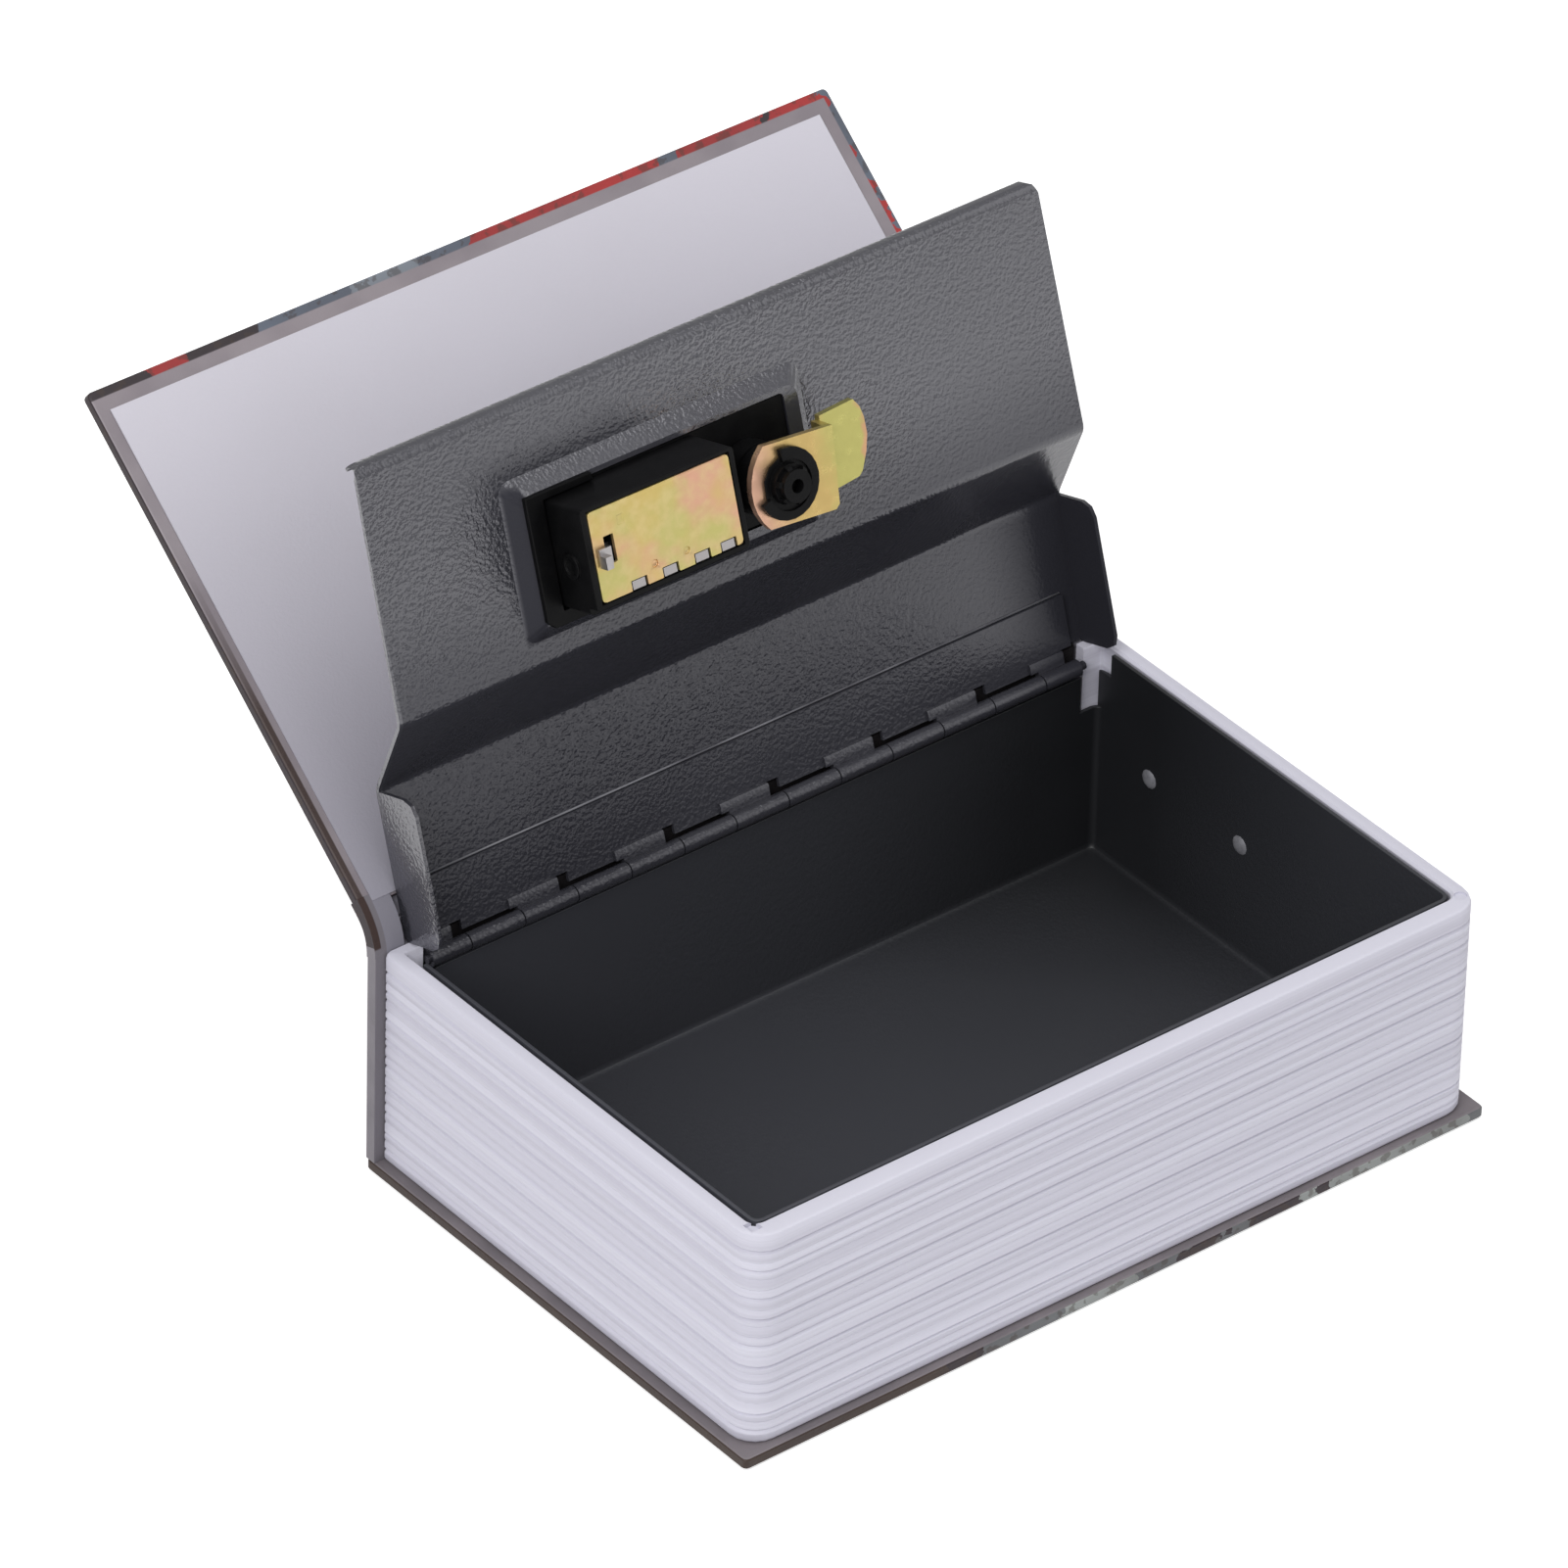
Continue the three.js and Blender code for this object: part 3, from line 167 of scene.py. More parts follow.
# %% [markdown]
# A product picture has a white ground and even light from large soft boxes. The floor here is
# pale and lit, and it adds a little glow that only the camera and mirror-like surfaces see, so it
# reads as white while the shadow under the book stays on it. The boxes are big, so a glossy lid
# shows broad soft gradients instead of sharp spots. The key stands to the tail side, which keeps
# that side of the pages a touch brighter than the fore side.

# %% Floor, world and lamps
FLOOR_SIZE = 6.0
FLOOR_DROP = 0.0003
FLOOR_GLOW = 0.52
WORLD_LIGHT = 0.5
WHITE = (1, 1, 1, 1)

floor_mesh = bpy.data.meshes.new("floor")
half = FLOOR_SIZE / 2
floor_corners = [(-half, -half, 0), (half, -half, 0), (half, half, 0), (-half, half, 0)]
floor_mesh.from_pydata(floor_corners, [], [(0, 1, 2, 3)])
floor = bpy.data.objects.new("floor", floor_mesh)
floor.location.z = -FLOOR_DROP
bpy.context.scene.collection.objects.link(floor)
floor_paint = bpy.data.materials.new("floor paint")
floor_paint.use_nodes = True
tree = floor_paint.node_tree
tree.nodes.clear()
seen = add_node(tree, "ShaderNodeLightPath").outputs
watched = math_of(tree, "MAXIMUM", seen["Is Camera Ray"], seen["Is Glossy Ray"])
paint = add_node(tree, "ShaderNodeBsdfDiffuse", Color=(0.86, 0.86, 0.86, 1))
light = add_node(tree, "ShaderNodeEmission", Color=WHITE, Strength=times(tree, watched, FLOOR_GLOW))
both = add_node(tree, "ShaderNodeAddShader", i0=paint.outputs[0], i1=light.outputs[0])
add_node(tree, "ShaderNodeOutputMaterial", Surface=both.outputs[0])
floor_mesh.materials.append(floor_paint)

world = bpy.data.worlds.new("studio")
bpy.context.scene.world = world
world.use_nodes = True
tree = world.node_tree
tree.nodes.clear()
seen = add_node(tree, "ShaderNodeLightPath").outputs
strength = add_node(tree, "ShaderNodeMapRange", Value=seen["Is Camera Ray"],
                    To_Min=WORLD_LIGHT, To_Max=1.0)
sky = add_node(tree, "ShaderNodeBackground", Color=WHITE, Strength=strength.outputs[0])
add_node(tree, "ShaderNodeOutputWorld", Surface=sky.outputs[0])

LAMP_AIM = Vector((0, 0, 0.05))
LAMPS = (
    ("key", (-2.7, -1.45, 2.7), 2.0, 85),
    ("fill", (2.6, -2.0, 1.8), 2.4, 14),
    ("top", (0.1, -0.15, 1.9), 1.2, 8),
)
for name, place, size, power in LAMPS:
    data = bpy.data.lights.new(name, "AREA")
    data.shape = "SQUARE"
    data.size = size
    data.energy = power
    lamp = bpy.data.objects.new(name, data)
    lamp.location = place
    lamp.rotation_euler = (LAMP_AIM - Vector(place)).to_track_quat("-Z", "Y").to_euler()
    bpy.context.scene.collection.objects.link(lamp)
bpy.context.scene.view_settings.view_transform = "Standard"

# %% [markdown]
# Three effects come back in several finishes, so each is a shader node group with named inputs:
# orange peel for the powder coat, soft blotches for anything that varies a little in tone, and
# streaks that run along the page edges. A group only works out masks and heights. The surface
# shader stays in the material that uses it.

# %% Shared effects
def new_group(name, inputs, output):
    """An empty shader group: inputs as name and starting value, and the name of its output."""
    made = bpy.data.node_groups.new(name, "ShaderNodeTree")
    for label, value in inputs.items():
        socket = made.interface.new_socket(label, in_out="INPUT", socket_type="NodeSocketFloat")
        socket.default_value = value
    made.interface.new_socket(output, in_out="OUTPUT", socket_type="NodeSocketFloat")
    entry = made.nodes.new("NodeGroupInput")
    way_out = made.nodes.new("NodeGroupOutput")
    return made, entry.outputs, way_out.inputs[output]


def noise(tree, place, scale, detail):
    made = add_node(tree, "ShaderNodeTexNoise", Vector=place, Scale=scale, Detail=detail)
    return made.outputs["Fac"]


peel, given, result = new_group(
    "orange peel", {"Grain": 900.0, "Patch": 30.0, "Least": 0.3}, "Height")
place = object_place(peel)
dimples = noise(peel, place, given["Grain"], 1.0)
patches = noise(peel, place, given["Patch"], 1.0)
amount = add_node(peel, "ShaderNodeMapRange", Value=patches, From_Min=0.4, From_Max=0.6,
                  To_Min=given["Least"], To_Max=1.0)
peel.links.new(times(peel, dimples, amount.outputs[0]), result)

blotch, given, result = new_group("blotches", {"Scale": 40.0, "Low": 0.35, "High": 0.65}, "Mask")
clouds = noise(blotch, object_place(blotch), given["Scale"], 3.0)
spread = add_node(blotch, "ShaderNodeMapRange", {"interpolation_type": "SMOOTHSTEP"},
                  Value=clouds, From_Min=given["Low"], From_Max=given["High"])
blotch.links.new(spread.outputs[0], result)

streak, given, result = new_group("page streaks", {"Along": 1.5, "Across": 1500.0}, "Mask")
parts = split_place(streak, object_place(streak))
runs = {axis: times(streak, parts[axis], given[label])
        for axis, label in (("X", "Along"), ("Y", "Along"), ("Z", "Across"))}
stretched = add_node(streak, "ShaderNodeCombineXYZ", **runs)
streak.links.new(noise(streak, stretched.outputs[0], 1.0, 1.0), result)
print("groups:", [g.name for g in bpy.data.node_groups])

# %% [markdown]
# Each finish is one material. These helpers start a material with the usual surface shader, place
# a shared effect in it, mix its colours and give it relief, so the following cells only say what
# is special about the finish.

# %% Material helpers
def start_finish(name, color, roughness, metallic=0.0, **sockets):
    """A material with a Principled shader; extra plain socket values are given by name."""
    made = bpy.data.materials.new(name)
    made.use_nodes = True
    tree = made.node_tree
    shader = tree.nodes["Principled BSDF"]
    shader.inputs["Base Color"].default_value = color
    shader.inputs["Roughness"].default_value = roughness
    shader.inputs["Metallic"].default_value = metallic
    for key, value in sockets.items():
        shader.inputs[key.replace("_", " ")].default_value = value
    made.diffuse_color = color
    return made, tree, shader


def use_group(tree, group, **inputs):
    """What a group placed in a material puts out, its inputs set by name."""
    return add_node(tree, "ShaderNodeGroup", {"node_tree": group}, **inputs).outputs[0]


def blend_colors(tree, mask, first, second):
    """A colour that moves from first to second with a mask; both may be values or sockets."""
    made = add_node(tree, "ShaderNodeMix", {"data_type": "RGBA"}, Factor=mask)
    for label, value in (("A", first), ("B", second)):
        socket = next(s for s in made.inputs if s.type == "RGBA" and s.name == label)
        if isinstance(value, bpy.types.NodeSocket):
            tree.links.new(value, socket)
        else:
            socket.default_value = value
    return next(socket for socket in made.outputs if socket.type == "RGBA")


def color_by(tree, shader, mask, first, second):
    """The base colour moves between two colours with a mask."""
    tree.links.new(blend_colors(tree, mask, first, second), shader.inputs["Base Color"])


def mottle(tree, shader, first, second, **inputs):
    """The base colour drifts between two colours in blotches; hands their mask back."""
    tone = use_group(tree, blotch, **inputs)
    color_by(tree, shader, tone, first, second)
    return tone


def color_ramp(tree, value, stops, interpolation="LINEAR"):
    """A colour laid out over a value, as stops of a position from 0 to 1 and a colour."""
    made = add_node(tree, "ShaderNodeValToRGB", Fac=value)
    made.color_ramp.interpolation = interpolation
    elements = made.color_ramp.elements
    while len(elements) < len(stops):
        elements.new(1.0)
    for element, (position, color) in zip(elements, stops):
        element.position = position
        element.color = color
    return made.outputs["Color"]


def emboss(tree, shader, height, distance):
    """A bump from a height, its depth in metres, in the paint and in any clear coat over it."""
    bump = add_node(tree, "ShaderNodeBump", Height=height, Distance=distance, Strength=1.0)
    tree.links.new(bump.outputs[0], shader.inputs["Normal"])
    tree.links.new(bump.outputs[0], shader.inputs["Coat Normal"])


def vary_roughness(tree, shader, mask, low, high):
    spread = add_node(tree, "ShaderNodeMapRange", Value=mask, To_Min=low, To_Max=high)
    tree.links.new(spread.outputs[0], shader.inputs["Roughness"])


print("material helpers ready")

# %% [markdown]
# The steel is painted with a dark grey powder coat. The lid wears it thick and glossy, with clear
# orange peel. The paint itself is nearly black: most of the grey that one sees on the lid is the
# bright room mirrored in its gloss. Real gloss is even, and only the room in it changes. Here the
# gloss is set by the place on the lid instead, to follow the picture's shade: it fades towards the
# hinge, is low on the shoulder of the pressed frame and at the head end of the low part, and stays
# high on the ear. Each place is a pair: where the change starts and where it is complete.

# %% Powder coat on the lid
HINGE_Y, HINGE_Z = 0.052, 0.0478
LID_ANGLE = math.radians(108)
LID_GREY, LID_GREY_PALE = srgb(46, 46, 52), srgb(53, 53, 59)
PEEL_DEPTH = 0.00022
RISE, FALL = (0.0, 1.0), (1.0, 0.0)
FRAME_NEAR, FRAME_FAR = (0.0540, 0.0560), (0.0850, 0.0870)
FRAME_TAIL, FRAME_HEAD = (-0.0518, -0.0508), (0.0190, 0.0200)
SHOULDER_END = (-0.0480, -0.0474)
PEEL_GROWS, PEEL_CALMS = (0.050, 0.060), (0.03, 0.065)
GLOSS_GROWS, GLOSS_WIDENS = (0.047, 0.076), (-0.08, 0.0)
LOW_END_X, LOW_END_REACH = (0.058, 0.08), (0.036, 0.032)
EAR_END = (-0.0816, -0.0813)
DULLNESS = 0.93
MOST_MIRROR, MOST_COAT = 1.0, 0.95

lid_coat, tree, shader = start_finish("lid powder coat", LID_GREY, 0.27,
                                      Specular_Tint=(0.93, 0.92, 1.0, 1), Coat_Roughness=0.16)
skin = use_group(tree, peel, Grain=1250.0, Patch=24.0, Least=0.62)
tone = mottle(tree, shader, LID_GREY, LID_GREY_PALE, Scale=14.0)
vary_roughness(tree, shader, tone, 0.24, 0.32)
place = object_place(tree)
run_x = split_place(tree, place)["X"]
up_lid = (0, math.cos(LID_ANGLE), -math.sin(LID_ANGLE))
from_hinge = reach_along(tree, place, up_lid)
hinge_at = HINGE_Y * up_lid[1] + HINGE_Z * up_lid[2]


def by_reach(distances, levels):
    """A value that changes between two distances from the hinge."""
    return fade(tree, from_hinge, [hinge_at - distance for distance in distances], levels)


def by_x(limits, levels):
    """A value that changes between two places along the hinge."""
    return fade(tree, run_x, limits, levels)


frame_height = times(tree, by_reach(FRAME_NEAR, RISE), by_reach(FRAME_FAR, FALL))
past_frame_tail = by_x(FRAME_TAIL, RISE)
frame_width = times(tree, past_frame_tail, by_x(FRAME_HEAD, FALL))
smoothed = fade(tree, times(tree, frame_height, frame_width), (0.0, 1.0), (1.0, 0.35))
calmer = times(tree, smoothed, by_x(PEEL_CALMS, (1.0, 0.55)))
grown = by_reach(PEEL_GROWS, (0.72, 1.0))
emboss(tree, shader, times(tree, times(tree, skin, grown), calmer), PEEL_DEPTH)

shoulder = times(tree, frame_height, times(tree, past_frame_tail, by_x(SHOULDER_END, FALL)))
low_end = times(tree, by_x(LOW_END_X, RISE), by_reach(LOW_END_REACH, RISE))
dull = times(tree, math_of(tree, "ADD", shoulder, low_end), DULLNESS)
across, upwards = by_x(GLOSS_WIDENS, (0.86, 1.0)), by_reach(GLOSS_GROWS, (0.5, 1.0))
faced = times(tree, times(tree, across, upwards), math_of(tree, "SUBTRACT", 1.0, dull, clamp=True))
shine = math_of(tree, "MAXIMUM", faced, by_x(EAR_END, FALL))
for label, most in (("Specular IOR Level", MOST_MIRROR), ("Coat Weight", MOST_COAT)):
    tree.links.new(times(tree, shine, most), shader.inputs[label])
print("lid coat made")

# %% [markdown]
# The box inside wears the same paint, duller and with less orange peel. Its tone gets darker
# towards the corner of spine and head, where the picture shows the box in deep shade. A colour
# ramp over the sum of X and Y lays that out. The paint bead along the hinge leaf is painted
# lighter than the lid, to follow the light line that it makes in the picture.

# %% Powder coat on the box
bead_coat, tree, shader = start_finish("paint bead", srgb(104, 104, 110), 0.35)
mottle(tree, shader, srgb(84, 84, 90), srgb(120, 120, 126), Scale=80.0)

BOX_TONES = (
    (0.0, srgb(68, 69, 76)), (0.48, srgb(57, 58, 64)), (0.74, srgb(50, 51, 56)),
    (0.95, srgb(28, 29, 32)),
)
BOX_BLOTCH, BOX_BLOTCH_SHARE = srgb(40, 41, 46), 0.15
BOX_PEEL_DEPTH = 0.0001
LEAST_SUM, MOST_SUM = -0.12, 0.13
box_coat, tree, shader = start_finish("box powder coat", srgb(44, 45, 50), 0.48,
                                      Specular_IOR_Level=0.45)
skin = use_group(tree, peel, Grain=1100.0, Patch=18.0, Least=0.05)
emboss(tree, shader, skin, BOX_PEEL_DEPTH)
tone = use_group(tree, blotch, Scale=16.0)
vary_roughness(tree, shader, tone, 0.45, 0.56)
x_and_y = reach_along(tree, object_place(tree), (1, 1, 0))
to_corner = step_up(tree, x_and_y, LEAST_SUM, MOST_SUM)
settled = color_ramp(tree, to_corner, BOX_TONES)
color_by(tree, shader, times(tree, tone, BOX_BLOTCH_SHARE), settled, BOX_BLOTCH)
print("box and bead coats made")

# %% [markdown]
# The block of pages is a moulded frame in a faintly lilac white. Real page edges show as fine
# lines, so streaks that are long along the book and very short across it change the tone and add
# a little relief between the grooves.

# %% Page block
FINE_SHARE = 0.45
STREAK_DEPTH = 0.0001

page_white, tree, shader = start_finish("page block", srgb(201, 199, 210), 0.55)
fine = use_group(tree, streak, Along=1.6, Across=1500.0)
wide = use_group(tree, streak, Along=1.0, Across=360.0)
mixed = math_of(tree, "MULTIPLY_ADD", fine, FINE_SHARE, wide)
color_by(tree, shader, step_up(tree, mixed, 0.5, 0.92), srgb(187, 185, 198), srgb(209, 208, 220))
emboss(tree, shader, mixed, STREAK_DEPTH)
print("page block made")

# %% [markdown]
# The smooth lilac-grey endpaper covers the inside of the front board. Its tone is set by the
# distance from the fold: near the fold it is painted darker, because the picture shows that end
# in the lid's shade. The cover paper's folded ends are grey. Its lining in the joint is painted
# shade: nearly black where the hinge hides it from the light, and paler at the two open ends,
# though still painted darker than the endpaper there.

# %% Endpaper and linings
FIBRE_DEPTH = 0.00002
COVER_ANGLE = math.radians(141)
FOLD_Y, FOLD_Z = 0.0579, 0.055
SHADE_START, SHADE_END, PALE_FROM = 0.001, 0.03, 0.11
DAYLIGHT_X, EDGE_X = (0.0795, 0.0805), (0.0872, 0.0874)
LAP_X, LAP_Z = (0.0884, 0.0886), (0.0520, 0.0524)
LAP_BROWN = srgb(66, 53, 50)
along_board = (0, -math.cos(COVER_ANGLE), math.sin(COVER_ANGLE))
fold_reach = FOLD_Y * along_board[1] + FOLD_Z * along_board[2]


def fibrous(tree, shader):
    """The faint grain that every paper has."""
    fibre = use_group(tree, blotch, Scale=1400.0, Low=0.3, High=0.7)
    emboss(tree, shader, fibre, FIBRE_DEPTH)


endpaper, tree, shader = start_finish("endpaper", srgb(192, 189, 199), 0.75)
reach = reach_along(tree, object_place(tree), along_board)
near_fold = step_up(tree, reach, fold_reach + SHADE_START, fold_reach + SHADE_END)
away = step_up(tree, reach, fold_reach + SHADE_END, fold_reach + PALE_FROM)
tone = use_group(tree, blotch, Scale=9.0, Low=0.3, High=0.7)
paler = blend_colors(tree, tone, srgb(197, 194, 203), srgb(203, 200, 210))
middle = blend_colors(tree, away, srgb(165, 162, 173), paler)
color_by(tree, shader, near_fold, srgb(145, 143, 154), middle)
fibrous(tree, shader)

fold_end, tree, shader = start_finish("folded paper end", srgb(116, 112, 117), 0.55,
                                      Specular_IOR_Level=0.3)
mottle(tree, shader, srgb(114, 110, 116), srgb(126, 122, 128), Scale=90.0, Low=0.3, High=0.7)
fibrous(tree, shader)

shaded_joint_lining, tree, shader = start_finish("shaded joint lining", srgb(30, 27, 29), 0.8,
                                          Specular_IOR_Level=0.2)
# The lining's colour is painted shade: near black in the middle, where the hinge hides it from the
# light, and a dim lilac at the two open ends.
parts = split_place(tree, object_place(tree))
outwards = math_of(tree, "ABSOLUTE", parts["X"])
in_daylight = step_up(tree, outwards, *DAYLIGHT_X)
at_the_edge = step_up(tree, outwards, *EDGE_X)
at_the_top = step_up(tree, parts["Z"], *LAP_Z)
lapped = times(tree, step_up(tree, outwards, *LAP_X), at_the_top)
pale = blend_colors(tree, at_the_edge, srgb(132, 130, 140), srgb(116, 112, 118))
wrapped = blend_colors(tree, lapped, pale, LAP_BROWN)
color_by(tree, shader, in_daylight, srgb(28, 25, 27), wrapped)
fibrous(tree, shader)
print("endpaper and linings made")

# %% [markdown]
# The print is a made-up design of soft colour fields across the cover: a dark brown foot,
# weathered blue-grey in the middle and a broad red field at the head of the front. A colour ramp
# along the spine direction lays the fields out, and a noise shifts and flecks their borders.

# %% Printed cover paper
COVER_HALF = 0.09
WAVER = 0.016
AGE_SHARE, FLECK_SHARE = 0.35, 0.5
BROWN, PLUM, RED = srgb(62, 50, 44), srgb(50, 42, 46), srgb(170, 46, 46)
BLUE_GREY, PALE_BLUE = srgb(96, 104, 118), srgb(132, 140, 150)
WORN, WORN_PALE = srgb(104, 106, 108), srgb(146, 150, 148)
FRONT_FIELDS = (
    (-0.09, PLUM), (-0.076, RED), (-0.068, PLUM), (-0.052, BLUE_GREY), (-0.03, PALE_BLUE),
    (-0.012, BLUE_GREY), (0.0, RED), (0.046, BLUE_GREY), (0.051, RED), (0.070, PLUM),
    (0.073, RED), (0.0855, BLUE_GREY),
)
BACK_FIELDS = (
    (-0.09, BROWN), (-0.045, PLUM), (-0.034, WORN), (-0.014, WORN_PALE), (0.004, WORN),
    (0.016, PLUM), (0.026, WORN), (0.033, PLUM), (0.042, WORN_PALE), (0.048, PLUM),
    (0.053, WORN_PALE), (0.084, WORN),
)


def printed(tree, fields):
    """The print's colour: fields along the spine as starts in metres and colours."""
    place = object_place(tree)
    waver = noise(tree, place, 180.0, 5.0)
    shifted = math_of(tree, "MULTIPLY_ADD", waver, WAVER, split_place(tree, place)["X"])
    share = step_up(tree, shifted, -COVER_HALF + WAVER / 2, COVER_HALF + WAVER / 2)
    stops = [((start + COVER_HALF) / (2 * COVER_HALF), color) for start, color in fields]
    laid_out = color_ramp(tree, share, stops, "CONSTANT")
    flecks = use_group(tree, blotch, Scale=420.0, Low=0.54, High=0.6)
    soft = use_group(tree, blotch, Scale=35.0, Low=0.35, High=0.65)
    aged = blend_colors(tree, times(tree, soft, AGE_SHARE), laid_out, PLUM)
    return blend_colors(tree, times(tree, flecks, FLECK_SHARE), aged, BROWN)


def cover_finish(name, color, fields):
    """A printed cover paper."""
    made, tree, shader = start_finish(name, color, 0.5, Specular_IOR_Level=0.25)
    tree.links.new(printed(tree, fields), shader.inputs["Base Color"])
    fibrous(tree, shader)
    return made


front_print = cover_finish("front cover print", PLUM, FRONT_FIELDS)
back_print = cover_finish("back cover print", BROWN, BACK_FIELDS)
print("cover papers made")

# %% [markdown]
# At a board's edge the printed side is wrapped round and reaches a little way in, and the rest of
# the turned-in paper shows its taupe back. On the front board that border has to follow the
# opened board, so the distance from the fold is worked out in the material from the point's own
# place along the opened board.

# %% Turned-in paper
TAUPE_DARK, TAUPE_LIGHT = srgb(129, 121, 127), srgb(143, 135, 140)
FRONT_REACH = 0.1144
PRINT_LAP = 0.0018
BORDER = 0.0001
HEAD_LAP_X, TAIL_LAP_X = (0.0862, 0.0864), (-0.0884, -0.0886)
TAIL_LAP_END, TAIL_LAP_START = 0.075, 0.045

# The back board's turned-in paper is painted darker than the front's taupe, partly for its own
# plum-grey tone and partly as painted shade beside the foot of the page block.
turn_in, tree, shader = start_finish("back cover inside", srgb(98, 92, 96), 0.7)
mottle(tree, shader, srgb(108, 102, 106), srgb(122, 115, 119), Scale=60.0, Low=0.3, High=0.7)
fibrous(tree, shader)

front_turn_in, tree, shader = start_finish("front cover inside", TAUPE_DARK, 0.6)
tone = use_group(tree, blotch, Scale=60.0, Low=0.3, High=0.7)
taupe = blend_colors(tree, tone, TAUPE_DARK, TAUPE_LIGHT)
place = object_place(tree)
reach = reach_along(tree, place, along_board)
run_x = split_place(tree, place)["X"]
edge = FRONT_REACH - PRINT_LAP + fold_reach
at_fore = step_up(tree, reach, edge - BORDER, edge + BORDER)
at_head = step_up(tree, run_x, *HEAD_LAP_X)
low_down = step_up(tree, reach, fold_reach + TAIL_LAP_END, fold_reach + TAIL_LAP_START)
at_tail = times(tree, step_up(tree, run_x, *TAIL_LAP_X), low_down)
lapped = math_of(tree, "MAXIMUM", at_fore, at_head)
wrapped = blend_colors(tree, lapped, taupe, printed(tree, FRONT_FIELDS))
color_by(tree, shader, at_tail, wrapped, LAP_BROWN)
fibrous(tree, shader)
print("print laps", PRINT_LAP * 1000, "mm onto the inside")

# %% [markdown]
# Yellow-passivated zinc is steel with a thin film whose thickness drifts, so the gold runs into
# pink and green. Two very slow noises pick between the tints, and a fine one scuffs the shine.
# The cam shows the same film, pinker at its round end and greener at its tongue, so its tint is
# laid out along the cam instead.

# %% Zinc
GOLD, PINK, GREEN = srgb(203, 180, 110), srgb(213, 163, 136), srgb(190, 182, 112)
PALE_GOLD = srgb(228, 208, 152)
SCRATCH_DEPTH = 0.00002
SPECKLE_SHARE, CLOUD_SHIFT = 0.5, 0.003


def scuffed(tree, shader, low, high):
    """A shine that varies finely, with fine scratches."""
    vary_roughness(tree, shader, use_group(tree, blotch, Scale=420.0), low, high)
    scratch = use_group(tree, peel, Grain=1500.0, Patch=300.0, Least=0.2)
    emboss(tree, shader, scratch, SCRATCH_DEPTH)


zinc, tree, shader = start_finish("yellow zinc", GOLD, 0.4, metallic=0.75)
pink = use_group(tree, blotch, Scale=52.0, Low=0.46, High=0.62)
green = use_group(tree, blotch, Scale=70.0, Low=0.52, High=0.7)
first = blend_colors(tree, pink, GOLD, PINK)
second = blend_colors(tree, green, first, GREEN)
speckle = use_group(tree, blotch, Scale=420.0, Low=0.35, High=0.75)
color_by(tree, shader, times(tree, speckle, SPECKLE_SHARE), second, PALE_GOLD)
scuffed(tree, shader, 0.28, 0.46)

cam_zinc, tree, shader = start_finish("cam zinc", GOLD, 0.38, metallic=0.8)
cloud = use_group(tree, blotch, Scale=160.0, Low=0.3, High=0.7)
run_x = split_place(tree, object_place(tree))["X"]
shifted = math_of(tree, "MULTIPLY_ADD", cloud, CLOUD_SHIFT, run_x)
tint = srgb(214, 170, 144)
CAM_TINTS = (
    (-0.003, 0.006, srgb(200, 172, 110)),
    (0.013, 0.018, srgb(186, 180, 108)),
    (0.0260, 0.0272, srgb(204, 160, 122)),
)
for start, end, color in CAM_TINTS:
    tint = blend_colors(tree, step_up(tree, shifted, start, end), tint, color)
tree.links.new(tint, shader.inputs["Base Color"])
scuffed(tree, shader, 0.26, 0.42)
print("zinc made")

# %% [markdown]
# The bright pieces are plain nickel-like steel, and the black ones are moulded plastic with a
# fine satin grain. The plastic soaks up nearly all the light, so its mirror share is set low too.

# %% Other metals and plastics
GRAIN_DEPTH = 0.00003

bright, tree, shader = start_finish("bright steel", srgb(178, 174, 174), 0.36, metallic=0.9)
vary_roughness(tree, shader, use_group(tree, blotch, Scale=500.0), 0.3, 0.44)

rivet_grey, tree, shader = start_finish("rivet", srgb(128, 128, 134), 0.5, metallic=0.15)
mottle(tree, shader, srgb(120, 120, 126), srgb(138, 138, 144), Scale=600.0)

black, tree, shader = start_finish("black plastic", srgb(10, 10, 11), 0.42,
                                   Specular_IOR_Level=0.12)
grain = use_group(tree, peel, Grain=2600.0, Patch=200.0, Least=0.5)
emboss(tree, shader, grain, GRAIN_DEPTH)
mottle(tree, shader, srgb(8, 8, 9), srgb(13, 13, 14), Scale=200.0)

wheel_black, tree, shader = start_finish("wheel plastic", srgb(20, 20, 22), 0.3,
                                         Specular_IOR_Level=0.4)
mottle(tree, shader, srgb(17, 17, 19), srgb(24, 24, 26), Scale=300.0)

white_ink, tree, shader = start_finish("white ink", srgb(222, 222, 220), 0.5)
mottle(tree, shader, srgb(214, 214, 212), srgb(230, 230, 228), Scale=900.0)
print("metals and plastics made")

# %% [markdown]
# The CAD nodes keep their meshes. A finish goes on each one, and where a board shows two kinds of
# paper its faces are shared out between two materials by the way they face.

# %% Dress the CAD nodes
NODES_OF_COAT = (
    (lid_coat, "lid_panel lid_hinge_leaf box_hinge_leaf hinge_pin"),
    (box_coat, "steel_box strike_plate"),
    (page_white, "page_shell"),
    (endpaper, "front_endpaper"),
    (front_print, "front_board front_joint_paper cover_crease spine_board spine_strip"),
    (back_print, "back_board"),
    (zinc, "cover_plate"),
    (cam_zinc, "lock_cam"),
    (bright, "wheel_axle fence_bar detent_spring code_lever"),
    (bright, "wheel_sleeve_1 wheel_sleeve_2 wheel_sleeve_3"),
    (rivet_grey, "tail_rivet_1 tail_rivet_2 head_rivet_1 head_rivet_2"),
    (rivet_grey, "strike_rivet_1 strike_rivet_2"),
    (black, "lock_base lock_housing lock_clamp cam_spindle cam_retainer turn_knob"),
    (wheel_black, "number_wheel_1 number_wheel_2 number_wheel_3"),
)
COAT_OF_NODE = {name: coat for coat, names in NODES_OF_COAT for name in names.split()}
for name, node in nodes.items():
    node.data.materials.clear()
    node.data.materials.append(COAT_OF_NODE[name])
    for face in node.data.polygons:
        face.material_index = 0


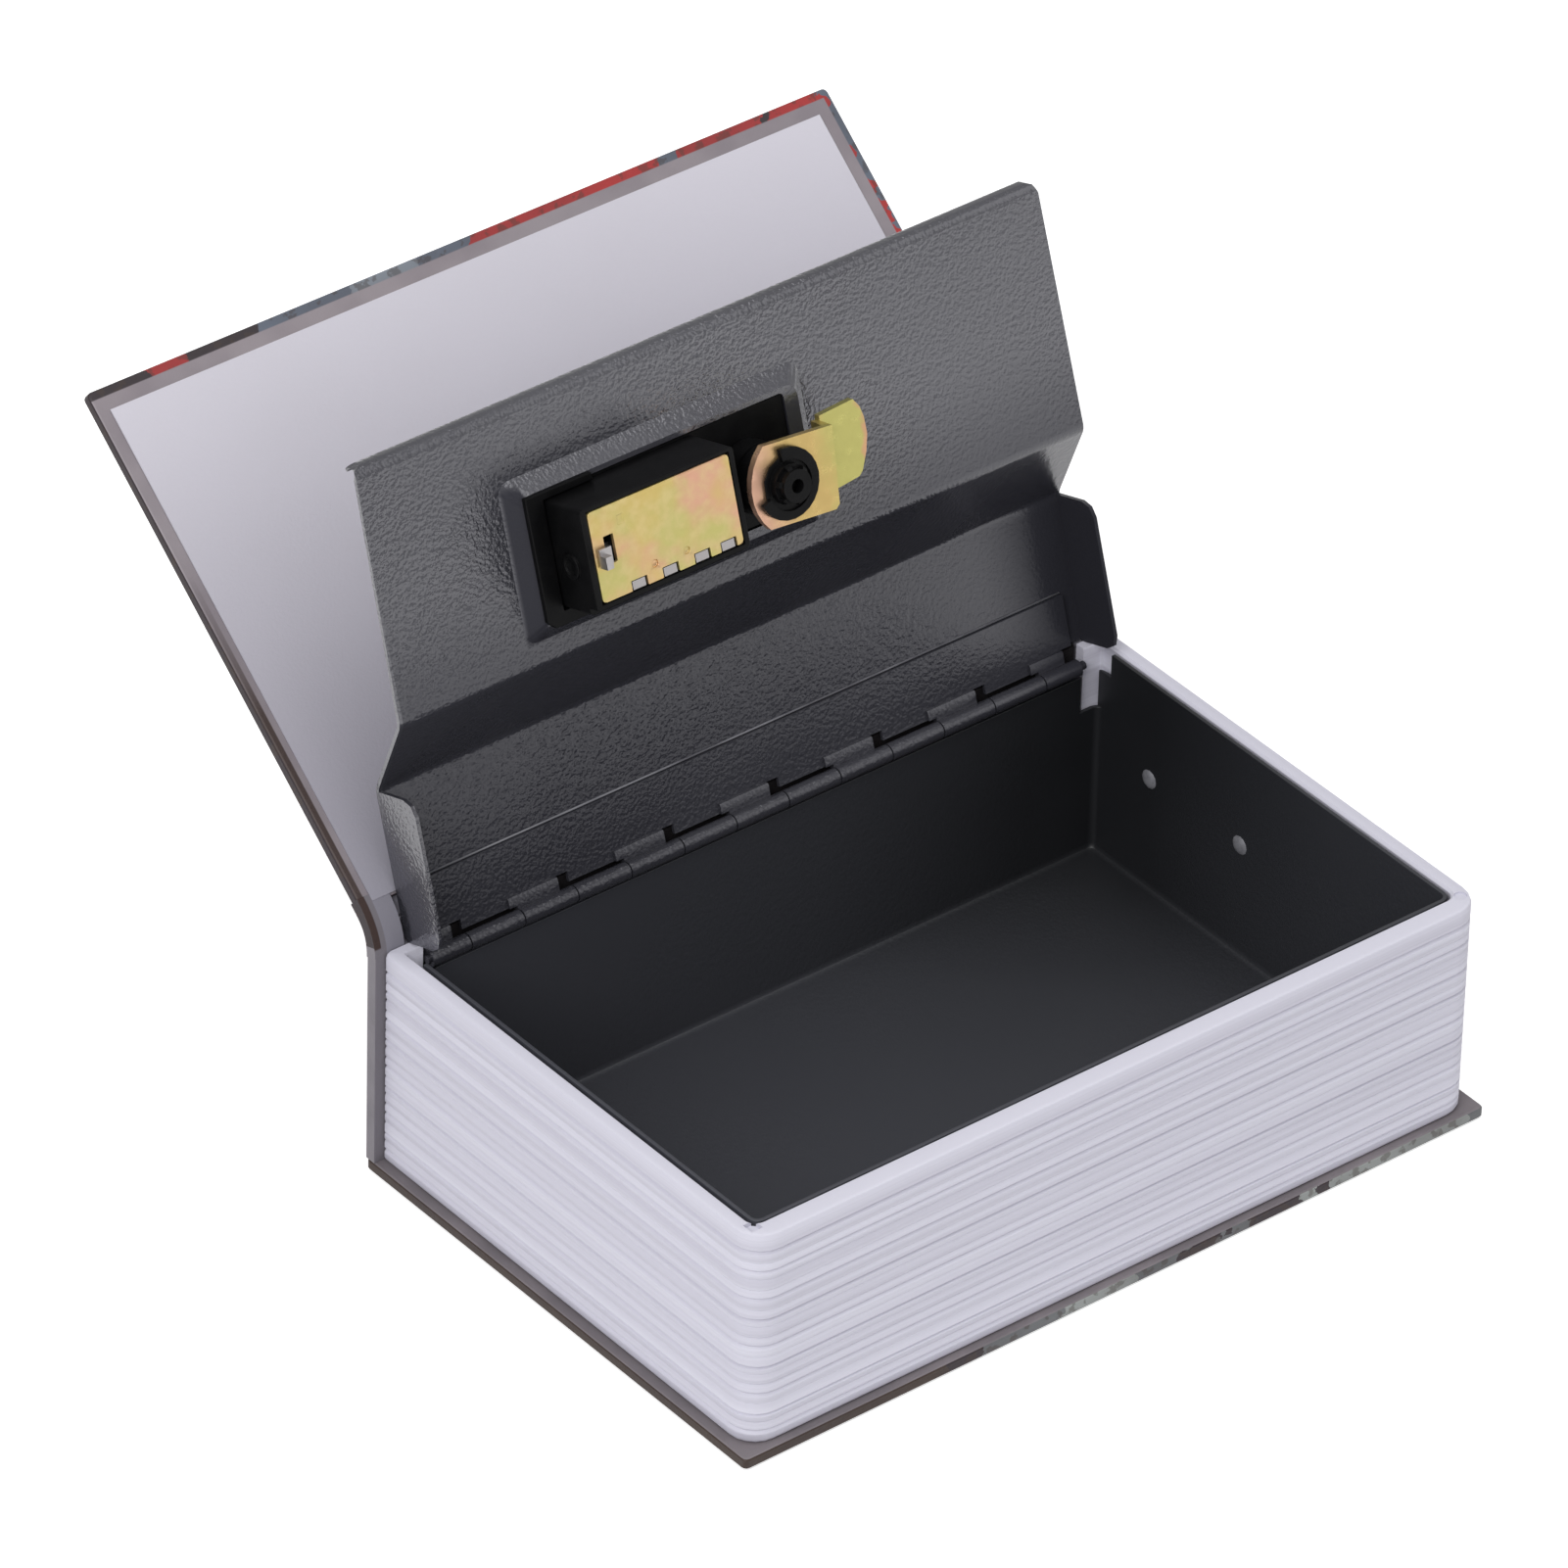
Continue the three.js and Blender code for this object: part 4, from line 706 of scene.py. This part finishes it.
def share_faces(name, second, faces_that_way):
    """Gives another material to the faces whose direction passes the test."""
    mesh = nodes[name].data
    mesh.materials.append(second)
    shared = 0
    for face in mesh.polygons:
        if faces_that_way(face.normal):
            face.material_index = len(mesh.materials) - 1
            shared += 1
    print(name, shared, "faces of", len(mesh.polygons))


front_inside = Vector((0, -math.sin(COVER_ANGLE), -math.cos(COVER_ANGLE)))
share_faces("front_board", front_turn_in, lambda n: n.dot(front_inside) > 0.8)
share_faces("back_board", turn_in, lambda n: n.z > 0.8)
# The inner faces of the spine board and strip, and those of the joint paper and the crease, take
# the joint lining, whose near-black colour there is painted shade.
for name in ("spine_board", "spine_strip"):
    share_faces(name, shaded_joint_lining, lambda n: n.y < -0.5 or n.z > 0.5)
share_faces("spine_board", fold_end, lambda n: abs(n.x) > 0.8)
for name in ("front_joint_paper", "cover_crease"):
    share_faces(name, shaded_joint_lining, lambda n: n.y < 0.1)

# %% [markdown]
# Real edges are never razor sharp, and a light catches on each of them. A narrow bevel on the
# rigid pieces gives that line. A bevel alone would let the smooth shading bleed over the large
# flat faces beside it, so weighted normals give each big face its own true direction back. Pieces
# without a bevel are split at their sharp edges instead. These are all modifiers, so the CAD mesh
# below them stays as it is.

# %% Edges that catch the light
WELD_DISTANCE = 0.000002
SHARP_ANGLE = math.radians(35)
BEVEL_SEGMENTS = 2
EDGE_WIDTH = {
    "lid_panel": 0.00018, "steel_box": 0.00018, "strike_plate": 0.0002, "turn_knob": 0.0004,
    "lock_base": 0.0003, "lock_housing": 0.00025, "lock_clamp": 0.0002, "lock_cam": 0.0002,
    "cover_plate": 0.00022, "cam_retainer": 0.0002, "front_board": 0.0003, "back_board": 0.0003,
    "spine_board": 0.0001,
}


def soften(node, width):
    """Welds a node's split corners, rounds its sharp edges and shades the rest smoothly."""
    for face in node.data.polygons:
        face.use_smooth = True
    weld = node.modifiers.new("weld", "WELD")
    weld.merge_threshold = WELD_DISTANCE
    if not width:
        node.modifiers.new("split", "EDGE_SPLIT").split_angle = SHARP_ANGLE
        return
    bevel = node.modifiers.new("bevel", "BEVEL")
    bevel.width = width
    bevel.segments = BEVEL_SEGMENTS
    bevel.limit_method = "ANGLE"
    bevel.angle_limit = SHARP_ANGLE
    bevel.use_clamp_overlap = True
    node.modifiers.new("even", "WEIGHTED_NORMAL").weight = 50


for name, node in nodes.items():
    soften(node, EDGE_WIDTH.get(name))
print("edges softened on", len(EDGE_WIDTH), "nodes")

# %% [markdown]
# The front joint is where the cover paper bends between the spine and the front board. On the CAD
# model it is a thin crease and two flat strips, which is enough for the motion. The real joint is
# one skin, so here a closed loft goes round the bend from the front board to the spine. It is thin
# behind the steel lid, and as thick as a board at the two ends, where the paper is turned in.

# %% Front joint
# The joint's inner faces wear the lining, with its painted shade.
JOINT_FINISHES = (front_print, shaded_joint_lining, fold_end)
PRINT_FACE, LINING_FACE, FOLD_FACE = 0, 1, 2
TAIL_END, HEAD_END, END_START = -0.09004, 0.08804, 0.0832
LINING_TOP_Z = 0.0522
CORE_SHARE = 0.62
JOINT_SHARP_ANGLE = math.radians(50)
OUTER_PATH = (0.0519, 0.05515), (0.0560, 0.05515), (0.05765, 0.0545), (0.05765, 0.0495)
THIN_PATH = (0.0519, 0.0540), (0.0560, 0.0538), (0.0570, 0.0540), (0.0570, 0.0495)
FULL_PATH = (0.0519, 0.05222), (0.0560, 0.05222), (0.0552, 0.0545), (0.05502, 0.0505)
PATH_STEPS = 12


def turned_open(y, z, about_y, about_z, angle):
    """Where (y, z) comes to lie when it is swung open about a line along X."""
    dy, dz = y - about_y, z - about_z
    turn_cos, turn_sin = math.cos(-angle), math.sin(-angle)
    return about_y + dy * turn_cos - dz * turn_sin, about_z + dy * turn_sin + dz * turn_cos


def bend(start, start_pull, end_pull, end):
    """A smooth path between two (y, z) places; the first two are on the closed cover."""
    opened = [turned_open(*spot, FOLD_Y, FOLD_Z, COVER_ANGLE) for spot in (start, start_pull)]
    spots = [Vector((0, *spot)) for spot in (*opened, end_pull, end)]
    return interpolate_bezier(*spots, PATH_STEPS)


def finished_mesh(skin, name, *finishes):
    """Turns a bmesh into a mesh that wears the given finishes."""
    mesh = bpy.data.meshes.new(name)
    skin.to_mesh(mesh)
    skin.free()
    for finish in finishes:
        mesh.materials.append(finish)
    return mesh


def closed_mesh(skin, name, *finishes):
    """The same for a closed body, with its faces turned outwards first."""
    bmesh.ops.recalc_face_normals(skin, faces=skin.faces)
    return finished_mesh(skin, name, *finishes)


def link_piece(name, mesh, body):
    made = bpy.data.objects.new(name, mesh)
    bpy.context.scene.collection.objects.link(made)
    if body:
        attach(made, body)
    return made


def loft_mesh(name, path_a, path_b, x0, x1, pick):
    """A closed skin between two paths; pick names a face's finish from its side and centre."""
    skin = bmesh.new()
    outline = list(path_a) + list(reversed(path_b))
    rings = [[skin.verts.new((x, p.y, p.z)) for p in outline] for x in (x0, x1)]
    count = len(outline)
    for i in range(count):
        j = (i + 1) % count
        face = skin.faces.new((rings[0][i], rings[0][j], rings[1][j], rings[1][i]))
        side = "outer" if i < len(path_a) else "inner"
        face.material_index = pick(side, face.calc_center_median())
        face.smooth = True
    for ring in rings:
        for i in range(len(path_a) - 1):
            corners = ring[i], ring[i + 1], ring[count - 2 - i], ring[count - 1 - i]
            face = skin.faces.new(corners)
            face.material_index = pick("end", face.calc_center_median())
    return closed_mesh(skin, name, *JOINT_FINISHES)


def skin_finish(side, center):
    return PRINT_FACE if side == "outer" else LINING_FACE


def edge_finish(side, center):
    return PRINT_FACE if side == "outer" or center.z > LINING_TOP_Z else FOLD_FACE


def lining_finish(side, center):
    return edge_finish(side, center) if side == "end" else skin_finish(side, center)


outer, thin_inner, full_inner = bend(*OUTER_PATH), bend(*THIN_PATH), bend(*FULL_PATH)
core = [p.lerp(q, CORE_SHARE) for p, q in zip(outer, full_inner)]
joint_pieces = (
    ("joint_skin", outer, thin_inner, -END_START, END_START, skin_finish),
    ("joint_tail_edge", outer, core, TAIL_END, -END_START, edge_finish),
    ("joint_tail_lining", core, full_inner, TAIL_END, -END_START, lining_finish),
    ("joint_head_edge", outer, core, END_START, HEAD_END, edge_finish),
    ("joint_head_lining", core, full_inner, END_START, HEAD_END, lining_finish),
)
for name, path_a, path_b, x0, x1, pick in joint_pieces:
    piece = link_piece(name, loft_mesh(name, path_a, path_b, x0, x1, pick), None)
    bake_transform(piece)
    piece.modifiers.new("split", "EDGE_SPLIT").split_angle = JOINT_SHARP_ANGLE
print("joint of", len(joint_pieces), "pieces")

# %% [markdown]
# Everything on the lid is easiest to place with the lid shut, because there it lies level. This
# helper swings a point of the shut lid about the hinge to where the lid stands open, as the CAD
# model does.

# %% From the shut lid to the open lid
def swung(x, y, z):
    return Vector((x, *turned_open(y, z, HINGE_Y, HINGE_Z, LID_ANGLE)))


print("lid's free edge at", [round(v, 3) for v in swung(0, -0.0496, 0.0379)])

# %% [markdown]
# Powder coat runs together where the hinge leaf ends on the lid and leaves a fine bead along the
# edge, which shows as a light line. It is a low round ridge along the leaf, a little under half a
# millimetre wide, and it rides on the lid.

# %% Paint bead along the hinge leaf
LEAF_END_Y, LID_FACE_Z = 0.0370, 0.04975
BEAD_LOW_X, BEAD_HIGH_X, BEAD_WIDTH = -0.0799, 0.0781, 0.00045
BEAD_OVERLAP = 0.6
BEAD_STEPS = 6

bead_y, bead_radius = LEAF_END_Y - BEAD_WIDTH * BEAD_OVERLAP, BEAD_WIDTH / 2
skin = bmesh.new()
rings = []
for x in (BEAD_LOW_X, BEAD_HIGH_X):
    ring = []
    for i in range(BEAD_STEPS + 1):
        turn = math.pi * i / BEAD_STEPS
        ring.append(skin.verts.new(swung(x, bead_y - bead_radius * math.cos(turn),
                                         LID_FACE_Z - bead_radius * math.sin(turn))))
    rings.append(ring)
tail_ring, head_ring = rings
for i in range(BEAD_STEPS):
    corners = tail_ring[i], tail_ring[i + 1], head_ring[i + 1], head_ring[i]
    skin.faces.new(corners).smooth = True
skin.faces.new((tail_ring[0], head_ring[0], head_ring[-1], tail_ring[-1]))
for ring in rings:
    skin.faces.new(ring)
bead = link_piece("leaf_paint_bead", closed_mesh(skin, "leaf_paint_bead", bead_coat), "lid")
print("paint bead", round((BEAD_HIGH_X - BEAD_LOW_X) * 1000, 1), "mm long")

# %% [markdown]
# The three code wheels carry the digits 0 to 9 in white. Each digit starts as a text object, is
# turned into a mesh, and is then wrapped round the wheel. A wheel has ten shallow hollows between
# ten ridges, and a digit sits in each hollow, so the glyph is first cut along its middle line and
# then laid on the two flats of the hollow.

# %% Digits on the wheels
WHEEL_Y, WHEEL_Z = -0.0197028, 0.0332
WHEEL_XS = (-0.034, -0.0266, -0.0192)
RIDGE_RADIUS, HOLLOW_RADIUS = 0.0075, 0.00715
DIGITS = 10
DIGIT_STEP = math.radians(36)
FONT_SIZE, INK = 0.0029 * 1.4, 0.00004


def glyph_mesh(text):
    """The flat mesh of a short text, its middle at the origin, cut along its middle line."""
    curve = bpy.data.curves.new("glyph", "FONT")
    curve.body = text
    curve.size = FONT_SIZE
    curve.align_x = "CENTER"
    curve.resolution_u = 2
    holder = bpy.data.objects.new("glyph", curve)
    bpy.context.scene.collection.objects.link(holder)
    flat = bpy.data.meshes.new_from_object(holder)
    bpy.data.objects.remove(holder)
    skin = bmesh.new()
    skin.from_mesh(flat)
    ys = [v.co.y for v in skin.verts]
    middle = (min(ys) + max(ys)) / 2
    for v in skin.verts:
        v.co.y -= middle
    everything = skin.verts[:] + skin.edges[:] + skin.faces[:]
    bmesh.ops.bisect_plane(skin, geom=everything, plane_co=(0, 0, 0), plane_no=(0, 1, 0))
    return skin


def wheel_surface(turn):
    """The wheel's radius at an angle from the middle of a hollow: two flats meet there."""
    flat = DIGIT_STEP / 2
    run, rise = RIDGE_RADIUS * math.cos(flat) - HOLLOW_RADIUS, RIDGE_RADIUS * math.sin(flat)
    slant = math.atan2(rise, run)
    return HOLLOW_RADIUS * math.sin(slant) / math.sin(slant - abs(turn))


def wrapped_spot(wheel_x, digit, spot):
    """Where a glyph's point lies on a wheel of the open lid."""
    turn = spot.y / HOLLOW_RADIUS
    radius = wheel_surface(turn) + INK
    around = math.pi / 2 - turn - digit * DIGIT_STEP
    return swung(wheel_x + spot.x, WHEEL_Y + radius * math.cos(around),
                 WHEEL_Z + radius * math.sin(around))


for number, wheel_x in enumerate(WHEEL_XS, 1):
    ink = bmesh.new()
    for digit in range(DIGITS):
        glyph = glyph_mesh(str(digit))
        made = {v: ink.verts.new(wrapped_spot(wheel_x, digit, v.co)) for v in glyph.verts}
        for face in glyph.faces:
            ink.faces.new([made[v] for v in face.verts])
        glyph.free()
    mesh = finished_mesh(ink, f"wheel_{number}_digits", white_ink)
    digits = link_piece(f"wheel_{number}_digits", mesh, f"wheel_{number}")
    print("wheel", number, "digits:", len(mesh.polygons), "faces")

# %% [markdown]
# A code lock needs marks to line the digits up with, and the knob needs a pointer. They are thin
# white bars printed on the lock's outer face and on the knob's grip.

# %% Index marks and knob pointer
BASE_FACE_Z = 0.039
KNOB_X, KNOB_Y, KNOB_TOP_Z = 0.0027, -0.0188028, 0.0457
MARK_NEAR, MARK_FAR, MARK_HALF = 0.0032, 0.0042, 0.00025
POINTER_NEAR, POINTER_FAR = 0.003, 0.0075


def printed_bars(name, bars, y, z, body):
    """Flat bars on a level face of the shut lid, given by their ends along X, swung open."""
    skin = bmesh.new()
    y0, y1 = y - MARK_HALF, y + MARK_HALF
    for x0, x1 in bars:
        corners = (x0, y0), (x1, y0), (x1, y1), (x0, y1)
        skin.faces.new([skin.verts.new(swung(*corner, z + INK)) for corner in corners])
    made = link_piece(name, finished_mesh(skin, name, white_ink), body)


marks = [(x - MARK_FAR, x - MARK_NEAR) for x in WHEEL_XS]
marks.append((WHEEL_XS[-1] + MARK_NEAR, WHEEL_XS[-1] + MARK_FAR))
printed_bars("index_marks", marks, WHEEL_Y, BASE_FACE_Z, "lid")
pointer = [(KNOB_X - POINTER_FAR, KNOB_X - POINTER_NEAR)]
printed_bars("knob_pointer", pointer, KNOB_Y, KNOB_TOP_Z, "cam")
print(len(marks), "index marks and a pointer")

# %% [markdown]
# The hollow post in the middle of the black retainer has short ribs round it that stiffen its
# foot. Each rib is a small wedge, high at the post and low at the rim of the foot. They turn with
# the cam.

# %% Ribs round the retainer's post
POST_RADIUS, FOOT_RADIUS, RIB_BITE = 0.0032, 0.0041, 0.0004
FOOT_TOP_Z, RIB_TOP_Z, RIB_HALF = 0.0217, 0.0202, 0.00055
RIBS, FIRST_RIB = 6, math.radians(20)
RIB_PROFILE = (
    (POST_RADIUS - RIB_BITE, FOOT_TOP_Z), (FOOT_RADIUS, FOOT_TOP_Z),
    (FOOT_RADIUS - 0.0003, RIB_TOP_Z + 0.0005), (POST_RADIUS - RIB_BITE, RIB_TOP_Z),
)


def add_prism(skin, flanks):
    """The faces of a bar: its two flanks and the sides between them."""
    for flank in flanks:
        skin.faces.new(flank)
    count = len(flanks[0])
    for i in range(count):
        j = (i + 1) % count
        skin.faces.new((flanks[0][i], flanks[0][j], flanks[1][j], flanks[1][i]))


skin = bmesh.new()
for number in range(RIBS):
    turn = FIRST_RIB + number * 2 * math.pi / RIBS
    out, side = Vector((math.cos(turn), math.sin(turn))), Vector((-math.sin(turn), math.cos(turn)))
    flanks = []
    for half_width in (-RIB_HALF, RIB_HALF):
        spots = [(out * radius + side * half_width, z) for radius, z in RIB_PROFILE]
        flanks.append([skin.verts.new(swung(KNOB_X + spot.x, KNOB_Y + spot.y, z))
                       for spot, z in spots])
    add_prism(skin, flanks)
ribs = link_piece("post_ribs", closed_mesh(skin, "post_ribs", black), "cam")
print(RIBS, "ribs")

# %% [markdown]
# Each finger of the detent spring ends in a small bent tab that comes up in its notch of the
# cover plate and shines there. The tab is one strip with a short riser and a flat end.

# %% Tabs in the plate's notches
PLATE_EDGE_Y = -0.0113028
NOTCH_XS = (-0.0341, -0.0267, -0.0192, -0.0130)
TAB_LOW, TAB_HIGH = -0.0016, 0.0014
TAB_PROFILE = (
    (-0.00185, 0.02395), (-0.00178, 0.02292), (-0.00010, 0.02286), (-0.00010, 0.02306),
    (-0.00160, 0.02312), (-0.00165, 0.02395),
)
skin = bmesh.new()
for notch_x in NOTCH_XS:
    flanks = [[skin.verts.new(swung(notch_x + x, PLATE_EDGE_Y + y, z)) for y, z in TAB_PROFILE]
              for x in (TAB_LOW, TAB_HIGH)]
    add_prism(skin, flanks)
mesh = closed_mesh(skin, "spring_tabs", bright)
tabs = link_piece("spring_tabs", mesh, "lid")
print("tabs:", len(mesh.polygons), "faces")
